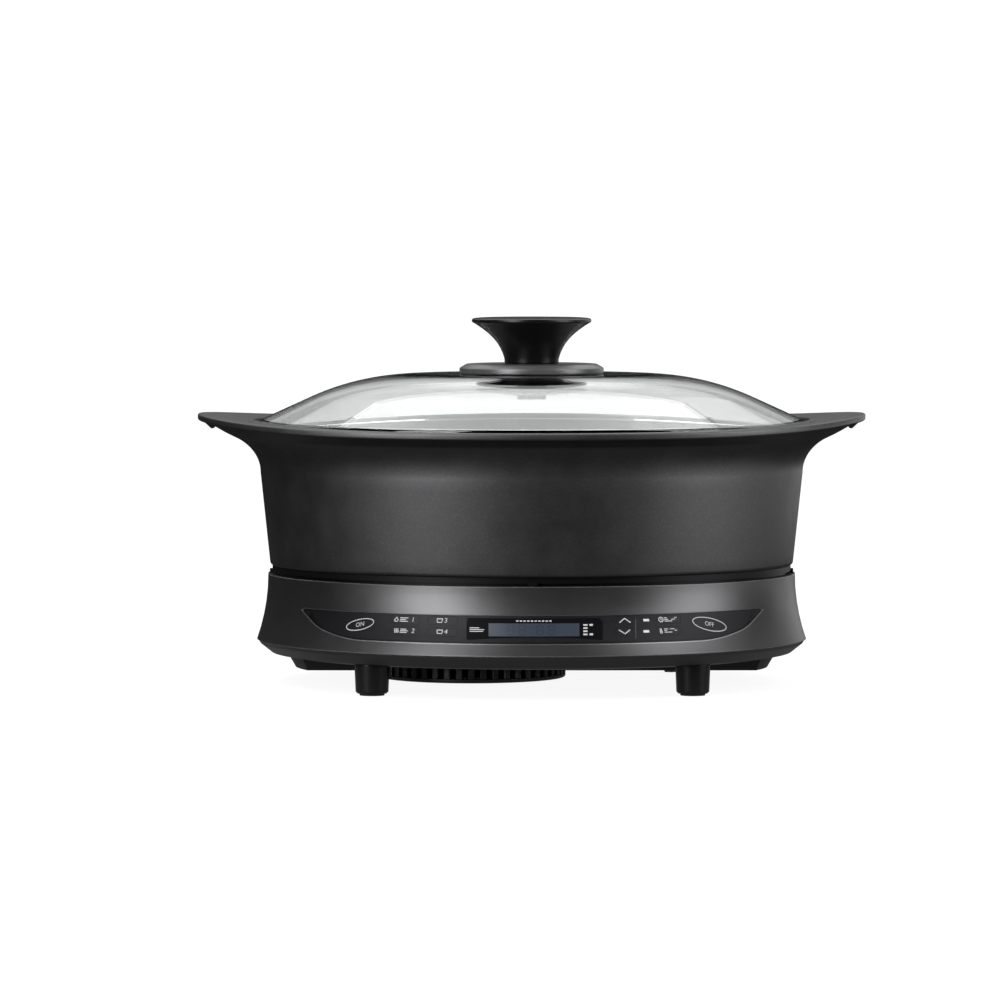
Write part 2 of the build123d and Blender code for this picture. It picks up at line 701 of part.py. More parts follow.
def make_bottom():
    edge_rx, edge_ry = housing_axes(FLARE_Z, COVER_EDGE_STEP)
    floor_z = COVER_Z + COVER_WALL
    rim = COVER_ROUND + COVER_WALL
    cover = cover_outer() - oval_loft(
        [
            (COVER_RX - COVER_WALL, COVER_RY - COVER_WALL, floor_z),
            (COVER_SIDE_RX - COVER_WALL, COVER_SIDE_RY - COVER_WALL, COVER_SIDE_Z + COVER_WALL),
            (edge_rx - rim, edge_ry - rim, FLARE_Z),
        ],
        ruled=True,
    )
    opening = tray_body(TRAY_OPENING_INSET, COVER_Z, floor_z)
    opening -= post(FAN_X, FAN_Y, FAN_HOLE + FAN_COLLAR, COVER_Z, floor_z)
    cover -= opening
    cover -= post(FAN_X, FAN_Y, FAN_HOLE, COVER_Z, floor_z)
    skirt_bottom = HOUSING_TOP_Z - FRAME_SKIRT
    inside = cover_outer() + oval_solid(edge_rx, edge_ry, FLARE_Z, skirt_bottom)
    shank = SCREW_RADIUS + HOLE_CLEARANCE
    column_screws = []
    for x, y in four_corners(COLUMN_X, COLUMN_Y):
        cover += post(x, y, COLUMN_RADIUS, COVER_Z, skirt_bottom) & inside
    for x, y in four_corners(COLUMN_X, COLUMN_Y):
        cover -= post(x, y, shank, COVER_Z, skirt_bottom)
        cover -= post(x, y, SCREW_HEAD + HOLE_CLEARANCE, COVER_Z, COLUMN_BORE_Z)
        screw = post(x, y, SCREW_HEAD, COLUMN_BORE_Z - SCREW_HEAD_HEIGHT, COLUMN_BORE_Z)
        screw += post(x, y, SCREW_RADIUS, COLUMN_BORE_Z, skirt_bottom + COLUMN_SCREW_GRIP - SEAT_GAP)
        column_screws.append(screw)
    keep("housing_screws", group(column_screws))

    tray_floor = TRAY_Z + TRAY_WALL
    drum = GRILLE_RADIUS + SEAT_GAP
    tray = tray_body(0, TRAY_Z, TRAY_TOP_Z) - tray_body(TRAY_WALL, tray_floor, TRAY_TOP_Z)
    drum_wall = post(FAN_X, FAN_Y, drum + TRAY_WALL, TRAY_Z, COVER_Z) & tray_body(0, TRAY_Z, TRAY_TOP_Z)
    tray += drum_wall
    tray -= post(FAN_X, FAN_Y, drum, TRAY_Z, TRAY_TOP_Z)
    tray -= cover_outer()
    for x, y in board_posts():
        tray += post(x, y, BOARD_POST_RADIUS, tray_floor, BOARD_Z)
        tray -= post(x, y, shank, tray_floor, BOARD_Z)
    tray_screws = []
    for x, y, proud in tray_screw_places():
        sunk = TRAY_Z + SCREW_HEAD_HEIGHT - proud
        pad_top = tray_floor + SCREW_HEAD_HEIGHT
        cover += post(x, y, TRAY_BOSS_RADIUS, pad_top, COVER_Z)
        cover -= post(x, y, shank, pad_top, COVER_Z)
        tray += post(x, y, TRAY_BOSS_RADIUS, tray_floor, pad_top)
        tray -= post(x, y, SCREW_HEAD + HOLE_CLEARANCE, TRAY_Z, sunk)
        tray -= post(x, y, shank, sunk, pad_top)
        screw = post(x, y, SCREW_HEAD, TRAY_Z - proud, sunk)
        screw += post(x, y, SCREW_RADIUS, sunk, COVER_Z - SEAT_GAP)
        tray_screws.append(screw)
    keep("bottom_cover", cover)
    keep("bottom_tray", tray)
    keep("tray_screws", group(tray_screws))


def make_feet():
    pads = []
    outside = cover_outer()
    bottom = PAD_THICKNESS - PAD_RECESS
    for end, y in (("front", FOOT_FRONT_Y), ("rear", FOOT_REAR_Y)):
        for side, x in (("left", -FOOT_X), ("right", FOOT_X)):
            foot = turned_outline(
                [
                    (0, bottom),
                    (FOOT_RADIUS - FOOT_EDGE, bottom),
                    (FOOT_RADIUS, bottom + FOOT_EDGE),
                    (FOOT_TOP_RADIUS, FOOT_TOP_Z),
                    (0, FOOT_TOP_Z),
                ]
            )
            foot -= post(0, 0, PAD_RADIUS + INSERT_CLEARANCE, bottom, PAD_THICKNESS)
            keep(f"foot_{end}_{side}", Pos(x, y, 0) * foot - outside)
            pads.append(post(x, y, PAD_RADIUS, 0, PAD_THICKNESS))
    keep("foot_pads", group(pads))


# Controls

def make_controls():
    panel = panel_layer(PANEL_SINK, PANEL_THICKNESS) & panel_outline(0)
    panel -= window_tool(INSERT_CLEARANCE)
    for tool in light_tools(INSERT_CLEARANCE):
        panel -= tool
    key_layer = panel_layer(KEY_TOP, KEY_THICKNESS)
    for name, x, z, shape in key_shapes():
        panel -= key_tool(x, z, shape(KEY_CLEARANCE))
        keep(name, key_tool(x, z, shape(0)) & key_layer)
    keep("control_panel", panel)
    keep("lcd_window", window_tool(0) & panel_layer(PANEL_SINK, PANEL_THICKNESS))
    lights = [tool & panel_layer(PANEL_SINK, PANEL_THICKNESS) for tool in light_tools(0)]
    keep("indicator_lights", group(lights))
    membrane_top = PANEL_SINK + PANEL_THICKNESS + MEMBRANE_GAP
    membrane = panel_layer(membrane_top, MEMBRANE_THICKNESS) & panel_outline(0)
    membrane -= window_tool(-MEMBRANE_MARGIN)
    keep("key_membrane", membrane)

    front = panel_plane(WINDOW_X, WINDOW_Z)

    def behind(width, height, depth, thickness):
        return extrude(front.offset(-depth) * Rectangle(width, height), amount=-thickness)

    keep("lcd_module", behind(LCD_WIDTH, LCD_HEIGHT, LCD_DEPTH, LCD_THICKNESS))
    board_depth = LCD_DEPTH + LCD_THICKNESS
    board = behind(CONTROL_BOARD_WIDTH, CONTROL_BOARD_HEIGHT, board_depth, BOARD_THICKNESS)
    keep("control_board", board)
    back = front.offset(-board_depth - BOARD_THICKNESS)
    keep("buzzer", extrude(back * (Pos(BUZZER_X, 0) * Circle(BUZZER_RADIUS)), amount=-BUZZER_HEIGHT))


# Fan

def make_fan():
    at_fan = Pos(FAN_X, FAN_Y, 0)
    grille = ring(GRILLE_RADIUS, GRILLE_RADIUS - GRILLE_WALL, GRILLE_Z, COVER_Z)
    grille += post(0, 0, GRILLE_RADIUS, GRILLE_Z, GRILLE_Z + GRILLE_FLOOR)
    slot_bottom = GRILLE_Z + GRILLE_FLOOR
    slot_height = COVER_Z - GRILLE_RIM - slot_bottom
    slot = Box(3 * GRILLE_WALL, GRILLE_SLOT, slot_height)
    slot = Pos(GRILLE_RADIUS, 0, slot_bottom + slot_height / 2) * slot
    grille -= PolarLocations(0, GRILLE_RIBS) * slot
    ray_length = GRILLE_RAY_END - GRILLE_RAY_START
    ray_middle = (GRILLE_RAY_START + GRILLE_RAY_END) / 2
    ray = Pos(ray_middle, 0, GRILLE_Z) * Box(ray_length, GRILLE_RAY_WIDTH, 3 * GRILLE_FLOOR)
    grille -= PolarLocations(0, GRILLE_RAYS) * ray
    keep("fan_grille", at_fan * grille)

    seat = COVER_Z + COVER_WALL
    duct = FAN_FRAME_RADIUS - FAN_FRAME_WALL
    frame = ring(FAN_FRAME_RADIUS, duct, seat, seat + FAN_FRAME_HEIGHT)
    half_strut = FAN_STRUT_WIDTH / 2
    strut_end = FAN_FRAME_RADIUS - FAN_FRAME_WALL / 2
    strut = block(0, strut_end, -half_strut, half_strut, seat, seat + FAN_STRUT_HEIGHT)
    frame += PolarLocations(0, FAN_STRUTS) * strut
    frame += post(0, 0, FAN_MOTOR_RADIUS, seat, seat + FAN_STRUT_HEIGHT)
    keep("fan_frame", at_fan * frame)
    motor_bottom = seat + FAN_STRUT_HEIGHT
    motor_top = motor_bottom + FAN_MOTOR_HEIGHT
    hub_bottom = motor_top + FAN_ROTOR_GAP
    hub_top = hub_bottom + FAN_HUB_HEIGHT
    motor = post(0, 0, FAN_MOTOR_RADIUS, motor_bottom, motor_top)
    motor += post(0, 0, FAN_SHAFT_RADIUS, motor_top, hub_top)
    keep("fan_motor", at_fan * motor)

    tip = duct - FAN_TIP_GAP
    blade_length = tip - FAN_HUB_RADIUS / 2
    blade_middle = FAN_HUB_RADIUS / 2 + blade_length / 2
    blade = Rot(FAN_BLADE_PITCH, 0, 0) * Box(blade_length, FAN_BLADE_CHORD, FAN_BLADE_THICKNESS)
    blade = Pos(blade_middle, 0, hub_bottom + FAN_HUB_HEIGHT / 2) * blade
    rotor = PolarLocations(0, FAN_BLADES) * blade
    rotor = post(0, 0, FAN_HUB_RADIUS, hub_bottom, hub_top) + rotor
    rotor &= post(0, 0, tip, hub_bottom, hub_top)
    rotor -= post(0, 0, FAN_SHAFT_RADIUS + FAN_SHAFT_FIT, hub_bottom, hub_top)
    keep("fan_rotor", at_fan * rotor)


# Induction coil

def coil_path():
    """Flat spiral of half circles whose centres alternate between two points."""
    arcs = []
    radius = COIL_START_RADIUS
    start_x = radius
    for half in range(2 * COIL_TURNS):
        upward = half % 2 == 0
        end_x = start_x - 2 * radius if upward else start_x + 2 * radius
        middle_x = (start_x + end_x) / 2
        middle_y = radius if upward else -radius
        arcs.append(ThreePointArc((start_x, 0), (middle_x, middle_y), (end_x, 0)))
        start_x = end_x
        radius += COIL_PITCH / 2
    return arcs


def least_gap(arcs):
    """Least distance between turns that lie beside each other, measured on points."""
    samples = 12
    turns = [[arc @ (step / samples) for step in range(samples + 1)] for arc in arcs]
    gaps = []
    for index in range(len(turns) - 2):
        gaps += [(a - b).length for a in turns[index] for b in turns[index + 2]]
    return min(gaps) - COIL_WIRE


def make_coil():
    mica_top = REST_Z - TOP_PLATE_THICKNESS
    mica_bottom = mica_top - MICA_THICKNESS
    keep("mica_sheet", post(0, 0, MICA_RADIUS, mica_bottom, mica_top))
    coil_z = mica_bottom - SEAT_GAP - COIL_WIRE / 2
    carrier_top = coil_z - COIL_WIRE / 2 - COIL_SEAT_GAP
    carrier_bottom = carrier_top - CARRIER_THICKNESS
    arcs = coil_path()
    print("coil turns", COIL_TURNS, "least gap between turns", round(least_gap(arcs), 2))
    path = Pos(0, 0, coil_z) * Wire(arcs)
    section = Plane(origin=(COIL_START_RADIUS, 0, coil_z), z_dir=(0, 1, 0)) * Circle(COIL_WIRE / 2)
    keep("induction_coil", sweep(section, path))

    carrier = ring(CARRIER_RING, CARRIER_RING - CARRIER_RING_WIDTH, carrier_bottom, carrier_top)
    carrier += post(0, 0, CARRIER_HUB, carrier_bottom, carrier_top)
    arm_length = CARRIER_RING - CARRIER_RING_WIDTH / 2
    half_arm = CARRIER_ARM_WIDTH / 2
    arm = block(0, arm_length, -half_arm, half_arm, carrier_bottom, carrier_top)
    carrier += PolarLocations(0, CARRIER_ARMS) * arm
    for x, y in four_corners(LEG_X, LEG_Y):
        floor = TRAY_Z + TRAY_WALL if y > 0 else COVER_Z + COVER_WALL
        carrier += post(x, y, LEG_RADIUS, floor, carrier_bottom)
    keep("coil_carrier", carrier)
    half_bar = FERRITE_WIDTH / 2
    bar_bottom = carrier_bottom - FERRITE_THICKNESS
    bar_end = FERRITE_START + FERRITE_LENGTH
    bar = block(FERRITE_START, bar_end, -half_bar, half_bar, bar_bottom, carrier_bottom)
    turns = [360 * index / CARRIER_ARMS for index in range(CARRIER_ARMS)]
    keep("ferrite_bars", group([Rot(0, 0, turn) * bar for turn in turns]))
    keep("thermistor_holder", post(0, 0, THERMISTOR_RADIUS, carrier_top, mica_bottom - SEAT_GAP))


# Main board

def make_board():
    top = BOARD_Z + BOARD_THICKNESS
    board = block(BOARD_MIN_X, BOARD_MAX_X, BOARD_MIN_Y, BOARD_MAX_Y, BOARD_Z, top)
    shank = SCREW_RADIUS + HOLE_CLEARANCE
    screws = []
    for x, y in board_posts():
        board -= post(x, y, shank, BOARD_Z, top)
        screw = post(x, y, SCREW_HEAD, top, top + SCREW_HEAD_HEIGHT)
        screws.append(screw + post(x, y, SCREW_RADIUS, top - BOARD_SCREW_LENGTH, top))
    keep("main_board", board)
    keep("board_screws", group(screws))

    sink = block(SINK_X, SINK_X + SINK_LENGTH, SINK_Y, SINK_Y + SINK_WIDTH, top, top + SINK_FLOOR)
    fin_pitch = (SINK_LENGTH - SINK_FIN) / (SINK_FINS - 1)
    for index in range(SINK_FINS):
        x = SINK_X + index * fin_pitch
        sink += block(x, x + SINK_FIN, SINK_Y, SINK_Y + SINK_WIDTH, top, top + SINK_HEIGHT)
    keep("heat_sink", sink)

    chip_y = SINK_Y + SINK_WIDTH
    gap = (SINK_LENGTH - 2 * CHIP_WIDTH) / 3
    for index, name in enumerate(("power_transistor", "bridge_rectifier")):
        x = SINK_X + gap + index * (CHIP_WIDTH + gap)
        keep(name, block(x, x + CHIP_WIDTH, chip_y, chip_y + CHIP_THICKNESS, top, top + CHIP_HEIGHT))
    places = [CAP_Y + index * CAP_PITCH for index in range(CAP_COUNT)]
    keep("capacitors", group([post(CAP_X, y, CAP_RADIUS, top, top + CAP_HEIGHT) for y in places]))
    choke = Torus(CHOKE_RADIUS - CHOKE_SECTION, CHOKE_SECTION)
    keep("choke", Pos(CHOKE_X, CHOKE_Y, top + CHOKE_SECTION) * choke)


# Power inlet

def make_inlet():
    half = INLET_WIDTH / 2
    socket_front = INLET_BACK_Y - INLET_DEPTH
    inlet = block(-half, half, INLET_FRONT_Y, INLET_BACK_Y, INLET_BOTTOM_Z, INLET_TOP_Z)
    hollow_half = half - INLET_WALL
    hollow_bottom = INLET_BOTTOM_Z + INLET_WALL
    hollow_top = INLET_TOP_Z - INLET_WALL
    inlet -= block(-hollow_half, hollow_half, socket_front, INLET_BACK_Y, hollow_bottom, hollow_top)
    pin_z = hollow_bottom + PIN_DROP
    pins = []
    for index in range(PIN_COUNT):
        x = (index - (PIN_COUNT - 1) / 2) * PIN_PITCH
        facing = Plane(origin=(x, INLET_FRONT_Y, pin_z), z_dir=(0, 1, 0))
        reach = socket_front - INLET_FRONT_Y + PIN_LENGTH
        pins.append(extrude(facing * Circle(PIN_RADIUS), amount=reach))
        inlet -= extrude(facing * Circle(PIN_RADIUS + HOLE_CLEARANCE), amount=reach)
    keep("power_inlet", inlet)
    keep("inlet_pins", group(pins))


make_pot()
make_lid()
make_housing()
make_top()
make_bottom()
make_feet()
make_controls()
make_fan()
make_coil()
make_board()
make_inlet()

os.makedirs("parts", exist_ok=True)
for node, shape in PARTS.items():
    export_step(shape, f"parts/{node}.step")
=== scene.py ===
import json
from math import atan2, copysign, cos, degrees, pi, radians, sin, sqrt, tan

import bmesh
import bpy
from mathutils import Matrix, Vector


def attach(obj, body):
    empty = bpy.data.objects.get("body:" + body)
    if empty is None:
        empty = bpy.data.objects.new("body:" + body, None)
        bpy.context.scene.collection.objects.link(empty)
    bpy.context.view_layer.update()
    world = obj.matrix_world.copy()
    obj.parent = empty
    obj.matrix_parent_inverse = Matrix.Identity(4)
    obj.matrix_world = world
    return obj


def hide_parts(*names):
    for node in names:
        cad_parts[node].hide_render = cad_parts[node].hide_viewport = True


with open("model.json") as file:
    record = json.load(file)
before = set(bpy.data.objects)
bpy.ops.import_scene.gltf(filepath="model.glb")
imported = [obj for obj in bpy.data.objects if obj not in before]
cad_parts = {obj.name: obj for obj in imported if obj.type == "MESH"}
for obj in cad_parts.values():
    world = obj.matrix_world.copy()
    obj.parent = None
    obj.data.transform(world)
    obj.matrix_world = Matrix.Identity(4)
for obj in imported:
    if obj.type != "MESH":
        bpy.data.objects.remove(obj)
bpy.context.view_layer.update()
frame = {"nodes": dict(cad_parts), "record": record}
scene = bpy.context.scene
nodes_by_name = frame["nodes"]

MM = 0.001

# Pot, in millimetres
REST_Z = 63.0
POT_FOOT = (140.0, 121.0)
POT_FOOT_EDGE = 2.0
BELLY = (145.0, 126.0)
BELLY_Z = 112.6
WALL_STEPS = 9
POT_WALL = 3.0
POT_FLOOR = 5.0
COVE = (28.0, 13.0)
COVE_HEIGHT = 22.0
COVE_ANGLE = 56.0
COVE_STEPS = 18
HANDLE_STEPS = 7
COVE_MEETS_LIP = (173.5, 137.5)
RIM = (178.5, 141.5)
RIM_FRONT_Z = 138.2
RIM_RISE = 5.9
RIM_POWER = 4
RIM_STEPS = 6
LIP_THICKNESS = 3.6
LIP_ROUND = 1.1
LEDGE_Z = 134.5
SEAT = (148.5, 129.5)
SEAT_ROUND = 0.7
FLOOR_ROUND = 6.0
PLATE = (112.15, 95.15)
PLATE_Z = 64.3
FRONT_STOP = (147.5, -53.0, 1.2)
REAR_STOP = (101.0, 103.0, 2.4)
RIB_INSET = 6.0
RIB_WIDTH = 2.5
RIB_DEPTH = 3.4
RIB_SLOPE = 4.5
RIB_SPAN = 52.0
RIB_STEPS = 28
RIB_ROOT = 0.4

# Lid and knob, in millimetres
LID = (147.5, 128.5)
LID_TOP_Z = 165.0
LID_EDGE = 4.8
LID_EDGE_WIDTH = 5.5
LID_EDGE_ROUND = 1.6
LID_SLOPE = radians(24.5)
LID_SHOULDER = 137.0
SHOULDER_STEPS = 14
LID_FLAT_RINGS = (12.0, 24.0, 36.0, 44.0, 52.0)
LID_ROUND_TO = 40.0
LID_OVAL_FROM = 60.0
LID_INNER_EDGE = (1.0, 0.6)
FLANK_SHARES = (0.02, 0.2, 0.4, 0.6, 0.8, 0.98)
GLASS = 4.0
LID_HOLE = 3.0
FLANGE_BOTTOM_Z = 165.3
FLANGE_TOP_Z = 170.3
FLANGE_EDGE_X = 37.9
FLANGE_SIDE_X = 37.4
FLANGE_SHOULDER_X = 34.6
FLANGE_EDGE = 0.7
FLANGE_SOFT = 1.2
GASKET_ROOM = (30.15, 0.5)
KNOB_BORE = 3.2
KNOB_FOOT = 13.4
KNOB_FOOT_ROUND = 0.8
KNOB_TOP_Z = 195.0
KNOB_SOCKET_Z = 184.6
KNOB_FLANK = [(14.5, 172.5), (14.9, 174.2), (15.6, 176.2), (16.7, 178.6), (18.2, 181.2), (20.2, 183.7),
              (22.8, 186.3), (25.8, 188.7), (28.8, 190.8), (30.6, 191.9)]
KNOB_LIP = (30.7, 193.4)
KNOB_LIP_ROUND = 1.3
PIN_HOLE = 0.4
WASHER_RADIUS = 30.0
WASHER_TOP_Z = 161.0
WASHER_DISH = [(24.0, 159.4), (18.0, 158.5), (12.0, 157.6), (8.2, 157.0), (KNOB_BORE, 157.0)]
TURNED_STEPS = 160

# Base housing, in millimetres
HOUSING = (141.0, 121.5)
HOUSING_TOP_Z = 58.5
FLARE_Z = 23.5
FLARE = (6.0, 16.0)
JOIN_GAP = 0.001

# Fan grille, in millimetres
FAN_CENTRE = (-32.0, -21.0)
GRILLE_RADIUS = 50.0
GRILLE_BOTTOM_Z = 4.5
GRILLE_TOP_Z = 14.0
GRILLE_WALL = 2.4
GRILLE_FLOOR = 2.0
GRILLE_RIM = 1.5
GRILLE_RIBS = 48
GRILLE_SLOT = 3.0
GRILLE_RAYS = 24
GRILLE_RAY_GAP = 3.2
GRILLE_RAY_START = 20.0
GRILLE_RAY_END = 43.0
GRILLE_STEPS = 144
GRILLE_OVERLAP = 0.1

# Control panel, in millimetres
PANEL_TOP_Z = 43.6
PANEL_BOTTOM_Z = 29.8
PANEL_TIP_X = 121.6
PANEL_SIDE = (112.0, 34.5)
PANEL_SIDE_ROUND = 18.0
PANEL_FOOT_X = 96.6
PANEL_ROUND = 60.0
PANEL_DEPTH = 0.2
KEY_DEPTH = 0.2
INK_THICKNESS = 0.03
PRINT_LINE = 0.46
CHEVRON_LINE = 0.6
SEGMENT_LINE = 0.55
DIVIDER_LINE = 0.3
# Band of painted shadow inside the panel's lower edge: its width along the bottom, its extra width at the tips
# and its gap to the edge
DARK_EDGE = 0.9
DARK_TIP = 5.5
DARK_GAP = 0.12
DIVIDER_X = 53.2
DIVIDER_HALF = 4.8
DISPLAY_PLACE = (0.6, 36.8)
DISPLAY_SIZE = (46.8, 7.4)
WINDOW_PLACE = (1.0, 37.95)
WINDOW_SIZE = (70.2, 10.6)
FIGURE_PLACES = (-12.0, -6.0, 3.0, 9.0)
FIGURE_HALF_WIDTH = 1.6
FIGURE_BAR = 2.6
FIGURE_GAP = 0.3
SEGMENT_GAP = 0.4
COLON_X = -1.5
NUMBER_SIZE = 3.6
WORD_SIZE = 3.4
BAR_PITCH = 0.9
# Marks beside the display: place sideways and up, length, and width in print lines
DISPLAY_MARKS = [(-33.2, 1.0, 5.0, 1.0), (-33.2, 0.0, 7.6, 1.0), (-33.2, -1.0, 7.0, 1.0),
                 (25.4, 2.7, 2.2, 2.0), (25.4, 0.9, 2.2, 2.0), (25.4, -0.9, 2.2, 2.0),
                 (25.4, -2.7, 2.2, 2.0), (28.6, 2.7, 1.8, 2.5), (28.6, -2.7, 1.8, 2.5)]
DASH_COUNT = 10
DASH_PITCH = 1.9
DASH_START = (-9.2, 5.1)
DASH_LENGTH = 1.2
# Steps out and depths of the rounded lip along the panel's lower edge; its lighter finish is a painted
# highlight
TRIM_STEPS = ((-0.1, PANEL_DEPTH), (-0.05, 0.02), (0.15, -0.05), (0.42, -0.04), (0.55, 0.1))

AROUND = 320

# White sweep, in metres; each glow that mirrors see has a middle, a radius and a strength
SWEEP_SIDES = (-1.0, 3.2)
SWEEP_FRONT_Y = -2.2
SWEEP_BEND_Y = 1.2
SWEEP_BEND = 0.6
SWEEP_TOP_Z = 3.2
SWEEP_WHITE = 0.92
SWEEP_TONE = 0.15
MIRRORED_TONE = 0.02
BEHIND_Y = 0.25
SIDE_GLOW_X = 0.55
FLOOR_GLOWS = (((0.0, 0.0), 0.26, 0.15), ((-0.45, -0.55), 0.40, 1.0), ((0.62, -0.25), 0.40, 1.0))
SURROUND_DARK = 0.025

# Softboxes: place, aim, width and height in metres, and power in watts
MIDDLE = (0.0, 0.0, 0.09)
SOFTBOXES = {
    "left_softbox": ((-1.02, -1.26, 1.22), (0.0, 0.0, 0.9), 0.8, 2.4, 43.0),
    "left_upper_softbox": ((-0.80, -0.02, 1.85), MIDDLE, 0.5, 0.6, 10.5),
    "right_softbox": ((1.50, -0.62, 1.22), (0.0, 0.0, 0.9), 0.9, 2.4, 31.0),
    "top_softbox": ((0.05, 0.75, 1.35), MIDDLE, 3.0, 0.8, 14.0),
    "upper_rear_softbox": ((0.0, 1.24, 0.99), MIDDLE, 3.0, 0.42, 3.2),
    "rear_softbox": ((0.0, 1.55, 0.72), (0.0, 0.0, 0.14), 3.0, 0.35, 0.9),
}

# Camera, in metres; sensor and lens in millimetres
CAMERA_PLACE = (-0.0169, -3.2, 0.260)
CAMERA_AIM = (-0.0169, 0.0, 0.0973)
SENSOR_WIDTH = 36.0
LENS = 215.4


# Node helpers

def link(tree, source, target):
    tree.links.new(source, target)


def wire(tree, source, output, target, entry):
    """Link between two nodes, by the names of their sockets."""
    link(tree, source.outputs[output], target.inputs[entry])


def add_node(tree, kind, **values):
    node = tree.nodes.new(kind)
    for name, value in values.items():
        setattr(node, name, value)
    return node


def set_inputs(node, values):
    for name, value in values.items():
        node.inputs[name].default_value = value


def new_group(name, inputs, outputs):
    """Shader node group with named value inputs and outputs; returns the tree and its two end nodes."""
    tree = bpy.data.node_groups.new(name, "ShaderNodeTree")
    for label, value in inputs.items():
        socket = tree.interface.new_socket(label, in_out="INPUT", socket_type="NodeSocketFloat")
        socket.default_value = value
    for label in outputs:
        tree.interface.new_socket(label, in_out="OUTPUT", socket_type="NodeSocketFloat")
    return tree, tree.nodes.new("NodeGroupInput"), tree.nodes.new("NodeGroupOutput")


def place_group(tree, group, **values):
    node = add_node(tree, "ShaderNodeGroup", node_tree=group)
    set_inputs(node, {name.replace("_", " "): value for name, value in values.items()})
    return node


def lead_noise(tree, place, scale, result, detail=3.0, roughness=0.55):
    """Noise of one scale, led to a result of its group."""
    node = add_node(tree, "ShaderNodeTexNoise")
    set_inputs(node, {"Detail": detail, "Roughness": roughness})
    link(tree, place, node.inputs["Vector"])
    link(tree, scale, node.inputs["Scale"])
    link(tree, node.outputs["Fac"], result)


def map_range(tree, value, low, high, to_low, to_high):
    node = add_node(tree, "ShaderNodeMapRange")
    set_inputs(node, {"From Min": low, "From Max": high, "To Min": to_low, "To Max": to_high})
    link(tree, value, node.inputs["Value"])
    return node.outputs["Result"]


def reckon(tree, operation, first, second):
    node = add_node(tree, "ShaderNodeMath", operation=operation)
    for index, value in enumerate((first, second)):
        if isinstance(value, (int, float)):
            node.inputs[index].default_value = value
        else:
            link(tree, value, node.inputs[index])
    return node.outputs["Value"]


def object_coordinates(tree):
    return add_node(tree, "ShaderNodeTexCoord").outputs["Object"]


# Shared surface effects

def make_speckle_group():
    """Fine bright flakes in a cast coating, with a soft mottle under them."""
    inputs = {"Flake Scale": 1800.0, "Mottle Scale": 60.0}
    tree, start, end = new_group("coating_speckle", inputs, ("Flakes", "Mottle", "Height"))
    place = object_coordinates(tree)
    cells = add_node(tree, "ShaderNodeTexVoronoi")
    link(tree, place, cells.inputs["Vector"])
    wire(tree, start, "Flake Scale", cells, "Scale")
    separate = add_node(tree, "ShaderNodeSeparateColor")
    wire(tree, cells, "Color", separate, "Color")
    link(tree, map_range(tree, separate.outputs["Red"], 0.72, 1.0, 0.0, 1.0), end.inputs["Flakes"])
    lead_noise(tree, place, start.outputs["Mottle Scale"], end.inputs["Mottle"])
    lead_noise(tree, place, start.outputs["Flake Scale"], end.inputs["Height"], detail=2.0)
    return tree


def make_mould_group():
    """Spark-eroded mould grain of satin plastic with faint handling marks."""
    inputs = {"Grain Scale": 2600.0, "Mark Scale": 22.0}
    tree, start, end = new_group("mould_grain", inputs, ("Height", "Marks"))
    place = object_coordinates(tree)
    lead_noise(tree, place, start.outputs["Grain Scale"], end.inputs["Height"], 4.0, 0.6)
    lead_noise(tree, place, start.outputs["Mark Scale"], end.inputs["Marks"], 5.0, 0.65)
    return tree


SPECKLE = make_speckle_group()
MOULD = make_mould_group()


# Materials

def new_material(name):
    material = bpy.data.materials.new(name)
    material.use_nodes = True
    shader = material.node_tree.nodes["Principled BSDF"]
    return material, material.node_tree, shader


def tint(tree, mask, low, high, shader):
    """Base colour that runs between two tones along a mask."""
    blend = add_node(tree, "ShaderNodeMix", data_type="RGBA")
    link(tree, mask, blend.inputs["Factor"])
    set_inputs(blend, {"A": (*low, 1.0), "B": (*high, 1.0)})
    wire(tree, blend, "Result", shader, "Base Color")


def uneven_gloss(tree, mask, shader, rough, spread):
    """Roughness that varies a little along a mask."""
    link(tree, map_range(tree, mask, 0.3, 0.7, rough - spread, rough + spread), shader.inputs["Roughness"])


def rounded_normal(tree, radius):
    """Normal of a surface whose edges are rounded by a radius in millimetres."""
    node = add_node(tree, "ShaderNodeBevel", samples=4)
    node.inputs["Radius"].default_value = radius * MM
    return node.outputs["Normal"]


def bump(tree, height, shader, strength, distance, edge=0.0):
    """Surface relief, over edges rounded by a radius in millimetres."""
    relief = add_node(tree, "ShaderNodeBump")
    set_inputs(relief, {"Strength": strength, "Distance": distance * MM})
    link(tree, height, relief.inputs["Height"])
    if edge:
        link(tree, rounded_normal(tree, edge), relief.inputs["Normal"])
    wire(tree, relief, "Normal", shader, "Normal")


def coated_metal(name, low, high, rough, metallic, relief=0.12):
    """Cast metal under a speckled satin coating."""
    material, tree, shader = new_material(name)
    effect = place_group(tree, SPECKLE)
    flakes = reckon(tree, "MULTIPLY", effect.outputs["Flakes"], 0.55)
    mottle = reckon(tree, "MULTIPLY", effect.outputs["Mottle"], 0.45)
    tint(tree, reckon(tree, "ADD", flakes, mottle), low, high, shader)
    uneven_gloss(tree, effect.outputs["Mottle"], shader, rough, 0.04)
    shader.inputs["Metallic"].default_value = metallic
    bump(tree, effect.outputs["Height"], shader, relief, 0.05)
    return material


